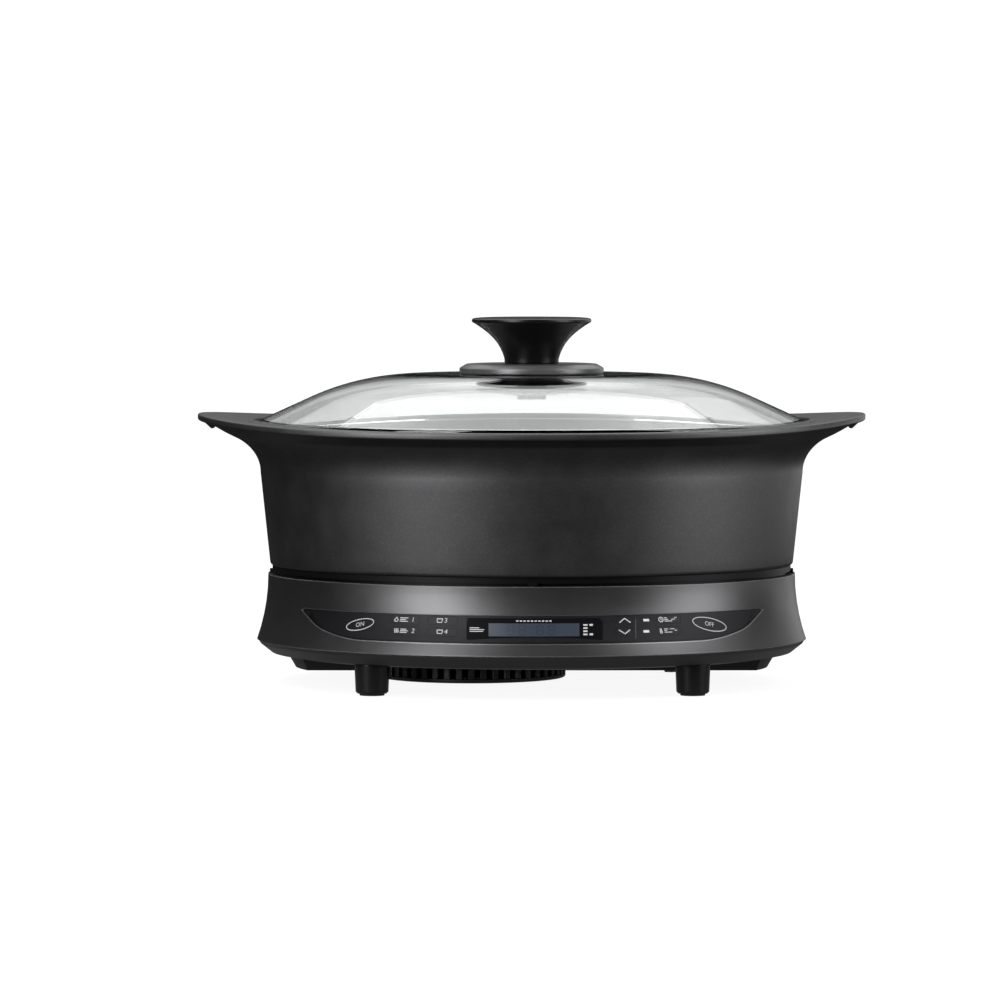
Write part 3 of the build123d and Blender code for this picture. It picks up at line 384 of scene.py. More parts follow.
def paint_edge_highlight(tree, shader, tone, radius, metallic):
    """Paint a highlight along the edges of a metallic finish, in a plain lighter tone."""
    likeness = add_node(tree, "ShaderNodeVectorMath", operation="DOT_PRODUCT")
    link(tree, rounded_normal(tree, radius), likeness.inputs[0])
    link(tree, add_node(tree, "ShaderNodeNewGeometry").outputs["Normal"], likeness.inputs[1])
    highlit = map_range(tree, likeness.outputs["Value"], 0.97, 0.80, 0.0, 1.0)
    blend = add_node(tree, "ShaderNodeMix", data_type="RGBA")
    link(tree, highlit, blend.inputs["Factor"])
    link(tree, shader.inputs["Base Color"].links[0].from_socket, blend.inputs["A"])
    blend.inputs["B"].default_value = (*tone, 1.0)
    wire(tree, blend, "Result", shader, "Base Color")
    link(tree, map_range(tree, highlit, 0.0, 1.0, metallic, 0.2), shader.inputs["Metallic"])


def moulded_plastic(name, low, high, rough, metallic=0.0, grain=2600.0, relief=0.1, edge=0.4,
                    coat=0.0, shine=0.5, worn=None):
    """Moulded plastic with fine grain and uneven sheen, with a highlight painted along its edges in a tone if
    one is given.
    """
    material, tree, shader = new_material(name)
    effect = place_group(tree, MOULD, Grain_Scale=grain)
    tint(tree, effect.outputs["Marks"], low, high, shader)
    uneven_gloss(tree, effect.outputs["Marks"], shader, rough, 0.03)
    set_inputs(shader, {"Metallic": metallic, "Specular IOR Level": shine})
    set_inputs(shader, {"Coat Weight": coat, "Coat Roughness": 0.12})
    bump(tree, effect.outputs["Height"], shader, relief, 0.04, edge)
    # Lighter tone painted along the edges as a highlight
    if worn:
        paint_edge_highlight(tree, shader, worn, edge, metallic)
    return material


def clear_glass(name, colour, deep, rough):
    """Clear glass that darkens where the eye looks along it."""
    material, tree, shader = new_material(name)
    effect = place_group(tree, MOULD, Grain_Scale=90.0, Mark_Scale=14.0)
    slant = add_node(tree, "ShaderNodeLayerWeight")
    slant.inputs["Blend"].default_value = 0.5
    tint(tree, map_range(tree, slant.outputs["Facing"], 0.56, 0.93, 0.0, 1.0), colour, deep, shader)
    set_inputs(shader, {"Transmission Weight": 1.0, "IOR": 1.5})
    link(tree, map_range(tree, effect.outputs["Marks"], 0.45, 0.75, rough, rough + 0.015),
         shader.inputs["Roughness"])
    return material


def bright_metal(name, low, high, rough, grain=900.0):
    material, tree, shader = new_material(name)
    effect = place_group(tree, MOULD, Grain_Scale=grain)
    tint(tree, effect.outputs["Marks"], low, high, shader)
    uneven_gloss(tree, effect.outputs["Height"], shader, rough, 0.06)
    shader.inputs["Metallic"].default_value = 1.0
    bump(tree, effect.outputs["Height"], shader, 0.08, 0.02)
    return material


def grey(value):
    return (value, value, value * 1.03)


def recipe(low, high, rough, make=moulded_plastic, **more):
    """Way to make a finish: two tones, its roughness, its maker and what else differs."""
    return make, (low, high, rough), more


RECIPES = {
    "charcoal_coating": recipe(grey(0.078), grey(0.112), 0.45, make=coated_metal, metallic=0.92),
    # Graphite housing: a lighter tone painted along its edges as a highlight
    "graphite_plastic": recipe(grey(0.080), grey(0.105), 0.36, metallic=0.9, edge=0.8, worn=grey(0.22)),
    "black_plastic": recipe(grey(0.008), grey(0.012), 0.46),
    "foot_plastic": recipe(grey(0.005), grey(0.008), 0.24, edge=0.8),
    "gloss_black": recipe(grey(0.003), grey(0.005), 0.26, grain=900.0, relief=0.04, shine=0.3),
    "dark_grey_metal": recipe(grey(0.095), grey(0.125), 0.34, metallic=0.5, edge=0.5),
    "black_rubber": recipe(grey(0.02), grey(0.03), 0.75, grain=1400.0, relief=0.2),
    "panel_sheet": recipe((0.011, 0.011, 0.013), (0.015, 0.015, 0.017), 0.46,
                          metallic=0.6, edge=0.0, shine=0.3),
    "key_cap": recipe((0.0115, 0.0115, 0.0135), (0.0155, 0.0155, 0.0175), 0.46,
                      metallic=0.6, edge=0.0, shine=0.3),
    "membrane": recipe((0.3, 0.3, 0.26), (0.36, 0.36, 0.31), 0.5),
    "carrier_plastic": recipe((0.55, 0.52, 0.46), (0.62, 0.59, 0.53), 0.5),
    "capacitor_sleeve": recipe((0.02, 0.02, 0.09), (0.03, 0.03, 0.12), 0.25),
    "circuit_board": recipe((0.015, 0.08, 0.03), (0.025, 0.12, 0.045), 0.35),
    "ferrite": recipe(grey(0.03), grey(0.045), 0.6),
    "mica": recipe((0.40, 0.33, 0.20), (0.52, 0.44, 0.29), 0.4),
    "black_plate": recipe(grey(0.008), grey(0.014), 0.12, grain=500.0, relief=0.03, coat=0.4),
    "display_cell": recipe((0.026, 0.036, 0.056), (0.032, 0.044, 0.068), 0.35, relief=0.02, edge=0.0),
    "display_segment": recipe((0.016, 0.022, 0.034), (0.020, 0.027, 0.042), 0.35, edge=0.0),
    "white_ink": recipe(grey(0.50), grey(0.58), 0.5, grain=1500.0, edge=0.0),
    # Lighter grey painted on the panel's lip as a highlight line
    "edge_line": recipe(grey(0.24), grey(0.30), 0.32, metallic=0.9, edge=0.0),
    # Near black with little sheen: painted shade in the seam under the pot and along the panel's sunk edge
    "recess_black": recipe(grey(0.003), grey(0.004), 0.4, edge=0.0, shine=0.15),
    "divider_grey": recipe(grey(0.05), grey(0.065), 0.4, edge=0.0),
    "steel": recipe(grey(0.42), grey(0.52), 0.3, make=bright_metal),
    "bare_aluminium": recipe(grey(0.5), grey(0.6), 0.4, make=bright_metal),
    "copper_wire": recipe((0.45, 0.18, 0.07), (0.55, 0.24, 0.10), 0.35, make=bright_metal),
    "brass_pin": recipe((0.55, 0.42, 0.18), (0.65, 0.50, 0.24), 0.3, make=bright_metal),
    "clear_glass": recipe((0.95, 0.965, 0.96), (0.20, 0.21, 0.21), 0.0, make=clear_glass),
    "display_window": recipe((0.003, 0.003, 0.004), (0.005, 0.005, 0.006), 0.45,
                             relief=0.02, edge=0.0, shine=0.04),
    "lamp_lens": recipe(grey(0.66), grey(0.74), 0.3, relief=0.03),
}
FINISH = {name: make(name, *tones, **more) for name, (make, tones, more) in RECIPES.items()}

# Solids that look different from the rest of their slot
# The top frame is black plastic, with its finish darker and duller still as painted shade in the seam under
# the pot
OWN_FINISH = {"top_frame": "recess_black", "knob_screw": "gloss_black"}


def finish_cad_nodes():
    """Give every carried-over solid the finish of its record slot, or its own."""
    for entry in frame["record"]["subparts"]:
        node = entry["node"]
        mesh = nodes_by_name[node].data
        mesh.materials.clear()
        mesh.materials.append(FINISH[OWN_FINISH.get(node, entry["material_slot"])])


# Mesh helpers

def add_object(name, data):
    item = bpy.data.objects.new(name, data)
    scene.collection.objects.link(item)
    return item


def to_mesh(name, shape):
    mesh = bpy.data.meshes.new(name)
    shape.to_mesh(mesh)
    shape.free()
    return mesh


def finish_mesh(name, shape, sharp=radians(34)):
    mesh = to_mesh(name, shape)
    mesh.shade_smooth()
    mesh.set_sharp_from_angle(angle=sharp)
    return mesh


def join_rings(shape, first, second):
    """Wall of faces between two closed rings of corners."""
    for index in range(len(first)):
        after = (index + 1) % len(first)
        shape.faces.new((first[index], first[after], second[after], second[index]))


def join_sections(shape, sections):
    """Closed bar through a row of sections."""
    for first, second in zip(sections, sections[1:]):
        join_rings(shape, first, second)
    shape.faces.new(sections[0])
    shape.faces.new(list(reversed(sections[-1])))


def ring_mesh(name, rows, around=AROUND, closed=True):
    """Mesh of closed rings; each row is a function of the angle that gives a point in millimetres."""
    shape = bmesh.new()
    rings = []
    for row in rows:
        rings.append([shape.verts.new(Vector(row(2 * pi * step / around)) * MM) for step in range(around)])
    for lower, upper in zip(rings, rings[1:]):
        join_rings(shape, lower, upper)
    if closed:
        join_rings(shape, rings[-1], rings[0])
    else:
        shape.faces.new(list(reversed(rings[0])))
        shape.faces.new(rings[-1])
    bmesh.ops.recalc_face_normals(shape, faces=shape.faces)
    return finish_mesh(name, shape)


def place_piece(mesh, body, slot_name, replaced=(), finish=None):
    """Object for a mesh on a body, with the finish of its record slot or one of its own."""
    piece = add_object(mesh.name, mesh)
    mesh.materials.clear()
    mesh.materials.append(finish or FINISH[slot_name])
    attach(piece, body)
    if replaced:
        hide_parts(*replaced)
    return piece


def part_way(start, end, share):
    """Point at a share of the way between two points."""
    return tuple(a + (b - a) * share for a, b in zip(start, end))


def arc_points(centre, radius, start, end, steps):
    """Points of an arc in a profile plane, angles in degrees."""
    turns = [radians(start + (end - start) * step / steps) for step in range(steps + 1)]
    return [(centre[0] + radius * cos(turn), centre[1] + radius * sin(turn)) for turn in turns]


# Pot

def rim_rise(x):
    return RIM_RISE * (abs(x) / RIM[0]) ** RIM_POWER


def oval_row(rx, ry, z, saddle=0.0):
    """Ring of an oval section; saddle is the share of the rim's rise that it follows."""
    def point(turn):
        x = rx * cos(turn)
        y = ry * sin(turn)
        return x, y, z + saddle * rim_rise(x)
    return point


def pot_rows():
    """Rings of the pot from its underside, up the outside, over the lip and down to its floor."""
    rows = [oval_row(*PLATE, PLATE_Z), oval_row(*PLATE, REST_Z)]

    def add_round(oval, z, centre, radius, start, end, steps, saddle=0.0):
        for out, up in arc_points(centre, radius, start, end, steps):
            rows.append(oval_row(oval[0] + out, oval[1] + out, z + up, saddle))

    add_round(POT_FOOT, REST_Z, (-POT_FOOT_EDGE, POT_FOOT_EDGE), POT_FOOT_EDGE, -90, 0, 4)
    wall_bottom = (*POT_FOOT, REST_Z + POT_FOOT_EDGE)
    for step in range(1, WALL_STEPS):
        rows.append(oval_row(*part_way(wall_bottom, (*BELLY, BELLY_Z), step / WALL_STEPS)))
    for step in range(COVE_STEPS + 1):
        turn = radians(COVE_ANGLE * step / COVE_STEPS)
        out = 1 - cos(turn)
        cove_end = (BELLY[0] + COVE[0] * out, BELLY[1] + COVE[1] * out, BELLY_Z + COVE_HEIGHT * sin(turn))
        rows.append(oval_row(*cove_end))
    lip_bottom = RIM_FRONT_Z - LIP_THICKNESS
    for step in range(1, HANDLE_STEPS + 1):
        share = step / HANDLE_STEPS
        rows.append(oval_row(*part_way(cove_end, (*COVE_MEETS_LIP, lip_bottom), share), share))
    add_round(RIM, lip_bottom, (-LIP_ROUND, LIP_ROUND), LIP_ROUND, -90, 0, 5, 1.0)
    add_round(RIM, RIM_FRONT_Z, (-LIP_ROUND, -LIP_ROUND), LIP_ROUND, 0, 90, 5, 1.0)
    for step in range(1, RIM_STEPS):
        rows.append(oval_row(*part_way(RIM, SEAT, step / RIM_STEPS), RIM_FRONT_Z, 1.0))
    corner = (SEAT_ROUND, -SEAT_ROUND)
    add_round(SEAT, RIM_FRONT_Z, corner, SEAT_ROUND, 90, 180, 4, 1.0)
    rows.append(oval_row(*SEAT, LEDGE_Z))
    inner = [half - POT_WALL for half in BELLY]
    add_round(inner, LEDGE_Z, corner, SEAT_ROUND, 90, 180, 4)
    rows.append(oval_row(*inner, BELLY_Z))
    floor = [half - POT_WALL for half in POT_FOOT]
    floor_z = REST_Z + POT_FLOOR
    add_round(floor, floor_z, (-FLOOR_ROUND, FLOOR_ROUND), FLOOR_ROUND, 0, -90, 6)
    rows.append(oval_row(floor[0] / 2, floor[1] / 2, floor_z))
    return rows


def add_finger_rib(shape, side):
    """Finger rib under one handle tip, as a strip of hooked sections along the rim."""
    rim_inset = RIB_INSET + RIB_WIDTH / 2
    rx = RIM[0] - rim_inset
    ry = RIM[1] - rim_inset
    reach = RIB_SPAN / 2 / ry
    sections = []
    for step in range(RIB_STEPS + 1):
        share = 2 * step / RIB_STEPS - 1
        x = side * rx * cos(reach * share)
        y = ry * sin(reach * share)
        under = RIM_FRONT_Z + rim_rise(x) - LIP_THICKNESS
        depth = RIB_DEPTH * (1 - abs(share) ** 6)
        outline = [(RIB_SLOPE, RIB_ROOT), (0.3, -depth), (-0.6, -0.95 * depth)]
        outline += [(-RIB_WIDTH / 2, -0.6 * depth), (-RIB_WIDTH / 2, RIB_ROOT)]
        sections.append([shape.verts.new(Vector((x + side * out, y, under + up)) * MM) for out, up in outline])
    join_sections(shape, sections)


def make_pot():
    mesh = ring_mesh("pot_body", pot_rows(), closed=False)
    shape = bmesh.new()
    shape.from_mesh(mesh)
    extra = bmesh.new()
    for side in (-1, 1):
        add_finger_rib(extra, side)
        for x, y, radius in (FRONT_STOP, REAR_STOP):
            centre = Matrix.Translation(Vector((side * x, y, RIM_FRONT_Z + rim_rise(x))) * MM)
            bmesh.ops.create_uvsphere(extra, u_segments=20, v_segments=12, radius=radius * MM,
                                      matrix=centre)
    bmesh.ops.recalc_face_normals(extra, faces=extra.faces)
    added = to_mesh("pot_extras", extra)
    shape.from_mesh(added)
    bpy.data.meshes.remove(added)
    bpy.data.meshes.remove(mesh)
    place_piece(finish_mesh("pot_body", shape), "pot", "charcoal_coating", ["pot"])


# Lid

def lid_oval(radius):
    """Half-depth for a half-width: round at the knob, oval from the shoulder outwards."""
    ratio = LID[1] / LID[0]
    share = min(1.0, max(0.0, (radius - LID_ROUND_TO) / (LID_OVAL_FROM - LID_ROUND_TO)))
    return radius * (1 + (ratio - 1) * share * share * (3 - 2 * share))


def turned_mesh(name, profile, around=TURNED_STEPS):
    """Round piece on the upright axis, from the profile of its wall."""
    return ring_mesh(name, [oval_row(radius, radius, z) for radius, z in profile], around)


def straight_points(start, end):
    """Points of a straight flank, close to its ends so that it stays flat."""
    return [part_way(start, end, share) for share in FLANK_SHARES]


def lid_profile():
    edge_top = LEDGE_Z + LID_EDGE
    meet_x = LID[0] - (LID_TOP_Z - edge_top) / tan(LID_SLOPE)
    flat_x = meet_x - LID_SHOULDER * tan(LID_SLOPE / 2)
    centre = (flat_x, LID_TOP_Z - LID_SHOULDER)
    steepest = 90 - degrees(LID_SLOPE)
    flat = [(radius, LID_TOP_Z) for radius in (LID_HOLE, *LID_FLAT_RINGS)]
    shoulder = arc_points(centre, LID_SHOULDER, 90, steepest, SHOULDER_STEPS)
    corner_z = edge_top - LID_EDGE_ROUND * tan((pi / 2 - LID_SLOPE) / 2)
    edge = arc_points((LID[0] - LID_EDGE_ROUND, corner_z), LID_EDGE_ROUND, steepest, 0, 5)
    edge += arc_points((LID[0] - LID_EDGE_ROUND, LEDGE_Z + LID_EDGE_ROUND), LID_EDGE_ROUND, 0, -90, 5)
    inner_x = LID[0] - LID_EDGE_WIDTH
    under_z = edge_top + LID_EDGE_WIDTH * tan(LID_SLOPE) - GLASS / cos(LID_SLOPE)
    in_x, up_z = LID_INNER_EDGE
    inner_edge = [(inner_x + in_x, LEDGE_Z), (inner_x, LEDGE_Z + up_z), (inner_x, under_z)]
    under_shoulder = arc_points(centre, LID_SHOULDER - GLASS, steepest, 90, SHOULDER_STEPS)
    under_flat = [(radius, LID_TOP_Z - GLASS) for radius, z in reversed(flat)]
    return (flat + shoulder + straight_points(shoulder[-1], edge[0]) + edge + inner_edge
            + straight_points(inner_edge[-1], under_shoulder[0]) + under_shoulder + under_flat)


def make_lid():
    rows = [oval_row(radius, lid_oval(radius), z) for radius, z in lid_profile()]
    place_piece(ring_mesh("lid_dome", rows), "lid", "clear_glass", ["lid_glass"])


def knob_profile():
    profile = [(KNOB_BORE, FLANGE_TOP_Z), (KNOB_FOOT, FLANGE_TOP_Z)]
    profile += arc_points((KNOB_FOOT + 0.3, FLANGE_TOP_Z + KNOB_FOOT_ROUND), KNOB_FOOT_ROUND, -70, 0, 3)
    profile += KNOB_FLANK + arc_points(KNOB_LIP, KNOB_LIP_ROUND, -75, 60, 8)
    profile += [(30.4, KNOB_TOP_Z - 0.25), (28.0, KNOB_TOP_Z), (20.0, KNOB_TOP_Z), (PIN_HOLE, KNOB_TOP_Z)]
    return profile + [(PIN_HOLE, KNOB_SOCKET_Z), (KNOB_BORE, KNOB_SOCKET_Z)]


def flange_profile():
    room_x, room_z = GASKET_ROOM
    bottom = FLANGE_BOTTOM_Z
    profile = [(KNOB_BORE, bottom + room_z), (room_x, bottom + room_z), (room_x, bottom)]
    profile += arc_points((FLANGE_EDGE_X, bottom + FLANGE_EDGE), FLANGE_EDGE, -90, 0, 4)
    profile += arc_points((FLANGE_SIDE_X, bottom + 2.2), FLANGE_SOFT, 0, 45, 4)
    profile += arc_points((FLANGE_SHOULDER_X, FLANGE_TOP_Z - FLANGE_SOFT), FLANGE_SOFT, 45, 90, 4)
    return profile + [(22.0, FLANGE_TOP_Z), (KNOB_BORE, FLANGE_TOP_Z)]


def washer_profile():
    profile = [(KNOB_BORE, WASHER_TOP_Z), (WASHER_RADIUS - 0.4, WASHER_TOP_Z)]
    profile += [(WASHER_RADIUS, WASHER_TOP_Z - 0.35), (WASHER_RADIUS - 0.3, WASHER_TOP_Z - 0.75)]
    return profile + WASHER_DISH


def make_knob():
    place_piece(turned_mesh("knob_body", knob_profile()), "lid", "gloss_black", ["knob"])
    place_piece(turned_mesh("knob_flange", flange_profile()), "lid", "dark_grey_metal", ["knob_base"])
    place_piece(turned_mesh("washer_dish", washer_profile()), "lid", "gloss_black", ["knob_washer"])


# Base housing

def make_housing():
    """Housing with its faces joined, so that its sheen runs on round the side."""
    solid = nodes_by_name["upper_housing"]
    joined = bpy.data.meshes.new("housing_faces")
    corners = [solid.matrix_world @ vertex.co for vertex in solid.data.vertices]
    joined.from_pydata(corners, [], [tuple(face.vertices) for face in solid.data.polygons])
    shape = bmesh.new()
    shape.from_mesh(joined)
    bpy.data.meshes.remove(joined)
    bmesh.ops.remove_doubles(shape, verts=shape.verts, dist=JOIN_GAP * MM)
    place_piece(finish_mesh("housing_shell", shape), "base", "graphite_plastic", ["upper_housing"])


# Control panel prints

def housing_axes(z, inset):
    share = ((HOUSING_TOP_Z - z) / (HOUSING_TOP_Z - FLARE_Z)) ** 2
    return HOUSING[0] + FLARE[0] * share - inset, HOUSING[1] + FLARE[1] * share - inset


def casing_point(x, z, inset):
    """Point on the front of the casing, in millimetres, at a depth below its surface."""
    rx, ry = housing_axes(z, inset)
    return Vector((x, -ry * sqrt(1 - (x / rx) ** 2), z))


def casing_directions(x, z):
    """Directions to the right, up and out along the casing at one place."""
    right = (casing_point(x + 0.01, z, 0) - casing_point(x - 0.01, z, 0)).normalized()
    along = casing_point(x, z + 0.01, 0) - casing_point(x, z - 0.01, 0)
    out = right.cross(along).normalized()
    return right, out.cross(right), out


def print_place(x, z, inset):
    """Function that lays flat artwork around one place onto the curved panel."""
    origin = casing_point(x, z, 0)
    right, up = casing_directions(x, z)[:2]

    def place(u, v):
        flat = origin + right * u + up * v
        return casing_point(flat.x, flat.z, inset)
    return place


def turned(points, tilt):
    turn = radians(tilt)
    return [(u * cos(turn) - v * sin(turn), u * sin(turn) + v * cos(turn)) for u, v in points]


def moved(points, u, v):
    return [(u + a, v + b) for a, b in points]


def oval_line(width, height, tilt=0.0, steps=64):
    return turned([(width / 2 * cos(2 * pi * step / steps), height / 2 * sin(2 * pi * step / steps))
                   for step in range(steps)], tilt)


def add_line(shape, place, points, width, closed=False):
    """Printed line of even width along a row of points."""
    count = len(points)
    edges = []
    for index, (u, v) in enumerate(points):
        before = points[index - 1] if closed or index else points[0]
        after = points[(index + 1) % count] if closed or index < count - 1 else points[-1]
        du = after[0] - before[0]
        dv = after[1] - before[1]
        half = width / 2 / sqrt(du * du + dv * dv)
        edges.append([shape.verts.new(place(u + side * dv * half, v - side * du * half) * MM)
                      for side in (-1, 1)])
    pairs = list(zip(edges, edges[1:]))
    if closed:
        pairs.append((edges[-1], edges[0]))
    for first, second in pairs:
        shape.faces.new((first[0], first[1], second[1], second[0]))


def evaluated_mesh(item):
    return bpy.data.meshes.new_from_object(item.evaluated_get(bpy.context.evaluated_depsgraph_get()))


def add_text(shape, place, words, size, u, tilt):
    """Printed figures or letters, centred at a distance sideways."""
    curve = bpy.data.curves.new("print_text", "FONT")
    curve.body = words
    curve.size = size
    curve.align_x = curve.align_y = "CENTER"
    curve.resolution_u = 3
    holder = add_object("print_text", curve)
    flat = evaluated_mesh(holder)
    points = moved(turned([tuple(vertex.co.xy) for vertex in flat.vertices], tilt), u, 0)
    corners = [shape.verts.new(place(*point) * MM) for point in points]
    for face in flat.polygons:
        shape.faces.new([corners[index] for index in face.vertices])
    bpy.data.objects.remove(holder)
    bpy.data.curves.remove(curve)
    bpy.data.meshes.remove(flat)


def finish_print(name, shape, facing, body, slot_name, finish):
    """Turn the artwork's faces outwards, give the ink its thickness and place it."""
    shape.normal_update()
    inward = [face for face in shape.faces if face.normal.dot(facing) < 0]
    bmesh.ops.reverse_faces(shape, faces=inward)
    bmesh.ops.solidify(shape, geom=shape.faces[:], thickness=INK_THICKNESS * MM)
    bmesh.ops.recalc_face_normals(shape, faces=shape.faces)
    place_piece(to_mesh(name, shape), body, slot_name, finish=FINISH[finish])


def flame_lines(u):
    flame = [(0.0, -1.2), (0.85, -0.9), (1.0, -0.1), (0.45, 0.55)]
    flame += [(0.15, 1.3), (-0.35, 0.5), (-0.95, -0.2), (-0.8, -0.95)]
    return [(moved(flame, u, 0), True)]


def steam_lines(u):
    wave = [(0.3 * sin(pi * step / 4), -1.2 + 0.3 * step) for step in range(9)]
    return [(moved(wave, u + offset, 0), False) for offset in (-0.9, 0.0, 0.9)]


def pan_lines(u):
    bowl = [(-1.5, 0.6), (-1.2, -1.0), (1.2, -1.0), (1.5, 0.6)]
    lid = [(-1.6, 0.95), (1.6, 0.95)]
    return [(moved(bowl, u, 0), False), (moved(lid, u, 0), False)]


def clock_lines(u):
    hands = [(0.0, 0.75), (0.0, 0.0), (0.6, -0.35)]
    return [(moved(oval_line(2.5, 2.5, steps=28), u, 0), True), (moved(hands, u, 0), False)]


def heat_lines(u):
    stem = [(-0.3, 1.2), (-0.3, -0.4), (0.3, -0.4), (0.3, 1.2)]
    return [(moved(oval_line(1.2, 1.2, steps=20), u, -0.75), True), (moved(stem, u, 0), True)]


def bar_lines(u, lengths):
    """Three short level bars beside a picture."""
    heights = (BAR_PITCH, 0.0, -BAR_PITCH)
    return [([(u, v), (u + length, v)], False) for v, length in zip(heights, lengths)]


CHEVRON = [(-3.0, -1.1), (0.0, 1.2), (3.0, -1.1)]

# Place, lines and words printed on each key; a word has its size, its place sideways and its tilt
KEY_PRINTS = {
    "key_start": ((-89.6, 37.6), [(oval_line(17.0, 5.9, 12.0), True)], [("ON", WORD_SIZE, 0.0, 12.0)]),
    "key_menu_1": ((-66.0, 41.0), flame_lines(-5.0) + bar_lines(-2.9, (4.6, 3.4, 4.6)),
                   [("1", NUMBER_SIZE, 4.6, 0.0)]),
    "key_menu_2": ((-66.0, 35.4), steam_lines(-5.0) + bar_lines(-2.9, (3.4, 4.6, 4.0)),
                   [("2", NUMBER_SIZE, 4.6, 0.0)]),
    "key_menu_3": ((-46.5, 41.0), pan_lines(-1.6), [("3", NUMBER_SIZE, 1.8, 0.0)]),
    "key_menu_4": ((-46.5, 35.4), pan_lines(-1.6), [("4", NUMBER_SIZE, 1.8, 0.0)]),
    "key_up": ((47.5, 41.0), [(CHEVRON, False)], []),
    "key_down": ((47.5, 35.4), [(turned(CHEVRON, 180.0), False)], []),
    "key_mode_1": ((70.5, 41.0), clock_lines(-4.6) + bar_lines(-2.6, (7.4, 6.2, 4.4)), []),
    "key_mode_2": ((70.5, 35.4), heat_lines(-4.6) + bar_lines(-2.6, (6.0, 7.4, 4.4)), []),
    "key_off": ((92.0, 37.6), [(oval_line(21.4, 7.0, -12.0), True)], [("OFF", WORD_SIZE, 0.0, -12.0)]),
}


def make_key_prints():
    for body, ((x, z), lines, words) in KEY_PRINTS.items():
        shape = bmesh.new()
        place = print_place(x, z, KEY_DEPTH - INK_THICKNESS)
        weight = CHEVRON_LINE if body in ("key_up", "key_down") else PRINT_LINE
        for points, closed in lines:
            add_line(shape, place, points, weight, closed)
        for word in words:
            add_text(shape, place, *word)
        out = casing_directions(x, z)[2]
        finish_print(body.replace("key_", "print_"), shape, out, body, "key_cap", "white_ink")


def add_patch(shape, place, size):
    """Printed rectangle that follows the curved panel."""
    columns = [size[0] / 2 * (step / 12 - 1) for step in range(25)]
    heights = [size[1] / 2 * (step / 6 - 1) for step in range(13)]
    rows = [[shape.verts.new(place(u, v) * MM) for u in columns] for v in heights]
    for lower, upper in zip(rows, rows[1:]):
        for index in range(len(columns) - 1):
            shape.faces.new((lower[index], lower[index + 1], upper[index + 1], upper[index]))


def make_display():
    """Black surround, blue-grey display, its unlit figures and the marks beside it."""
    x, z = DISPLAY_PLACE
    out = casing_directions(x, z)[2]
    shape = bmesh.new()
    add_patch(shape, print_place(*WINDOW_PLACE, PANEL_DEPTH - INK_THICKNESS), WINDOW_SIZE)
    finish_print("display_surround", shape, out, "base", "display_window", "display_window")
    shape = bmesh.new()
    add_patch(shape, print_place(x, z, PANEL_DEPTH - 2 * INK_THICKNESS), DISPLAY_SIZE)
    finish_print("display_face", shape, out, "base", "display_cell", "display_cell")

    over = print_place(x, z, PANEL_DEPTH - 3 * INK_THICKNESS)
    shape = bmesh.new()

    def level(u, v, length, width):
        add_line(shape, over, [(u, v), (u + length, v)], width)

    def stroke(u, v, half):
        add_line(shape, over, [(u, v - half), (u, v + half)], SEGMENT_LINE)

    flat = FIGURE_HALF_WIDTH - SEGMENT_GAP
    for middle in FIGURE_PLACES:
        for v in (FIGURE_BAR / 2, -FIGURE_BAR / 2):
            for u in (-FIGURE_HALF_WIDTH, FIGURE_HALF_WIDTH):
                stroke(middle + u, v, FIGURE_BAR / 2 - FIGURE_GAP)
        for v in (-FIGURE_BAR, 0.0, FIGURE_BAR):
            level(middle - flat, v, 2 * flat, SEGMENT_LINE)
    for v in (-1.2, 1.2):
        stroke(COLON_X, v, 0.3)
    finish_print("display_segments", shape, out, "base", "display_cell", "display_segment")

    shape = bmesh.new()
    for u, v, length, weight in DISPLAY_MARKS:
        level(u, v, length, PRINT_LINE * weight)
    for step in range(DASH_COUNT):
        level(DASH_START[0] + DASH_PITCH * step, DASH_START[1], DASH_LENGTH, PRINT_LINE * 1.6)
    finish_print("display_marks", shape, out, "base", "display_window", "white_ink")


def round_corner(before, corner, after, radius):
    """Points of the arc that rounds one left-hand corner of a path."""
    start = atan2(corner[1] - before[1], corner[0] - before[0])
    end = atan2(after[1] - corner[1], after[0] - corner[0])
    reach = radius * tan((end - start) / 2)
    touch_x = corner[0] - reach * cos(start)
    touch_z = corner[1] - reach * sin(start)
    centre = (touch_x - radius * sin(start), touch_z + radius * cos(start))
    return arc_points(centre, radius, degrees(start) - 90, degrees(end) - 90, 10)


def panel_edge_points():
    """Lower outline of the panel in the front view, from one tip to the other."""
    middle = (0.0, PANEL_BOTTOM_Z)
    foot = (PANEL_FOOT_X, PANEL_BOTTOM_Z)
    tip = (PANEL_TIP_X - 0.15, PANEL_TOP_Z - 0.15)
    path = [middle] + round_corner(middle, foot, PANEL_SIDE, PANEL_ROUND)
    path += round_corner(foot, PANEL_SIDE, tip, PANEL_SIDE_ROUND) + [tip]
    half = [middle]
    for start, end in zip(path, path[1:]):
        parts = int(abs(end[0] - start[0]) / 3.0) + 1
        half += [part_way(start, end, part / parts) for part in range(1, parts + 1)]
    return [(-x, z) for x, z in reversed(half[1:])] + half


def edge_band(name, section, finish, slot_name):
    """Band along the lower edge of the panel; the section gives each point's front-view place and depth."""
    edge = panel_edge_points()
    shape = bmesh.new()
    rows = []
    for index, (x, z) in enumerate(edge):
        before = edge[max(index - 1, 0)]
        after = edge[min(index + 1, len(edge) - 1)]
        length = sqrt((after[0] - before[0]) ** 2 + (after[1] - before[1]) ** 2)
        away = ((after[1] - before[1]) / length, (before[0] - after[0]) / length)
        rows.append([shape.verts.new(casing_point(*point) * MM) for point in section(x, z, away)])
    join_sections(shape, rows)
    bmesh.ops.recalc_face_normals(shape, faces=shape.faces)
    place_piece(finish_mesh(name, shape), "base", slot_name, finish=FINISH[finish])


def bright_edge(x, z, away):
    """Rounded lip of the recess, from the sheet out onto the casing; its lighter finish is a painted
    highlight.
    """
    return [(x + away[0] * out, z + away[1] * out, depth) for out, depth in TRIM_STEPS]


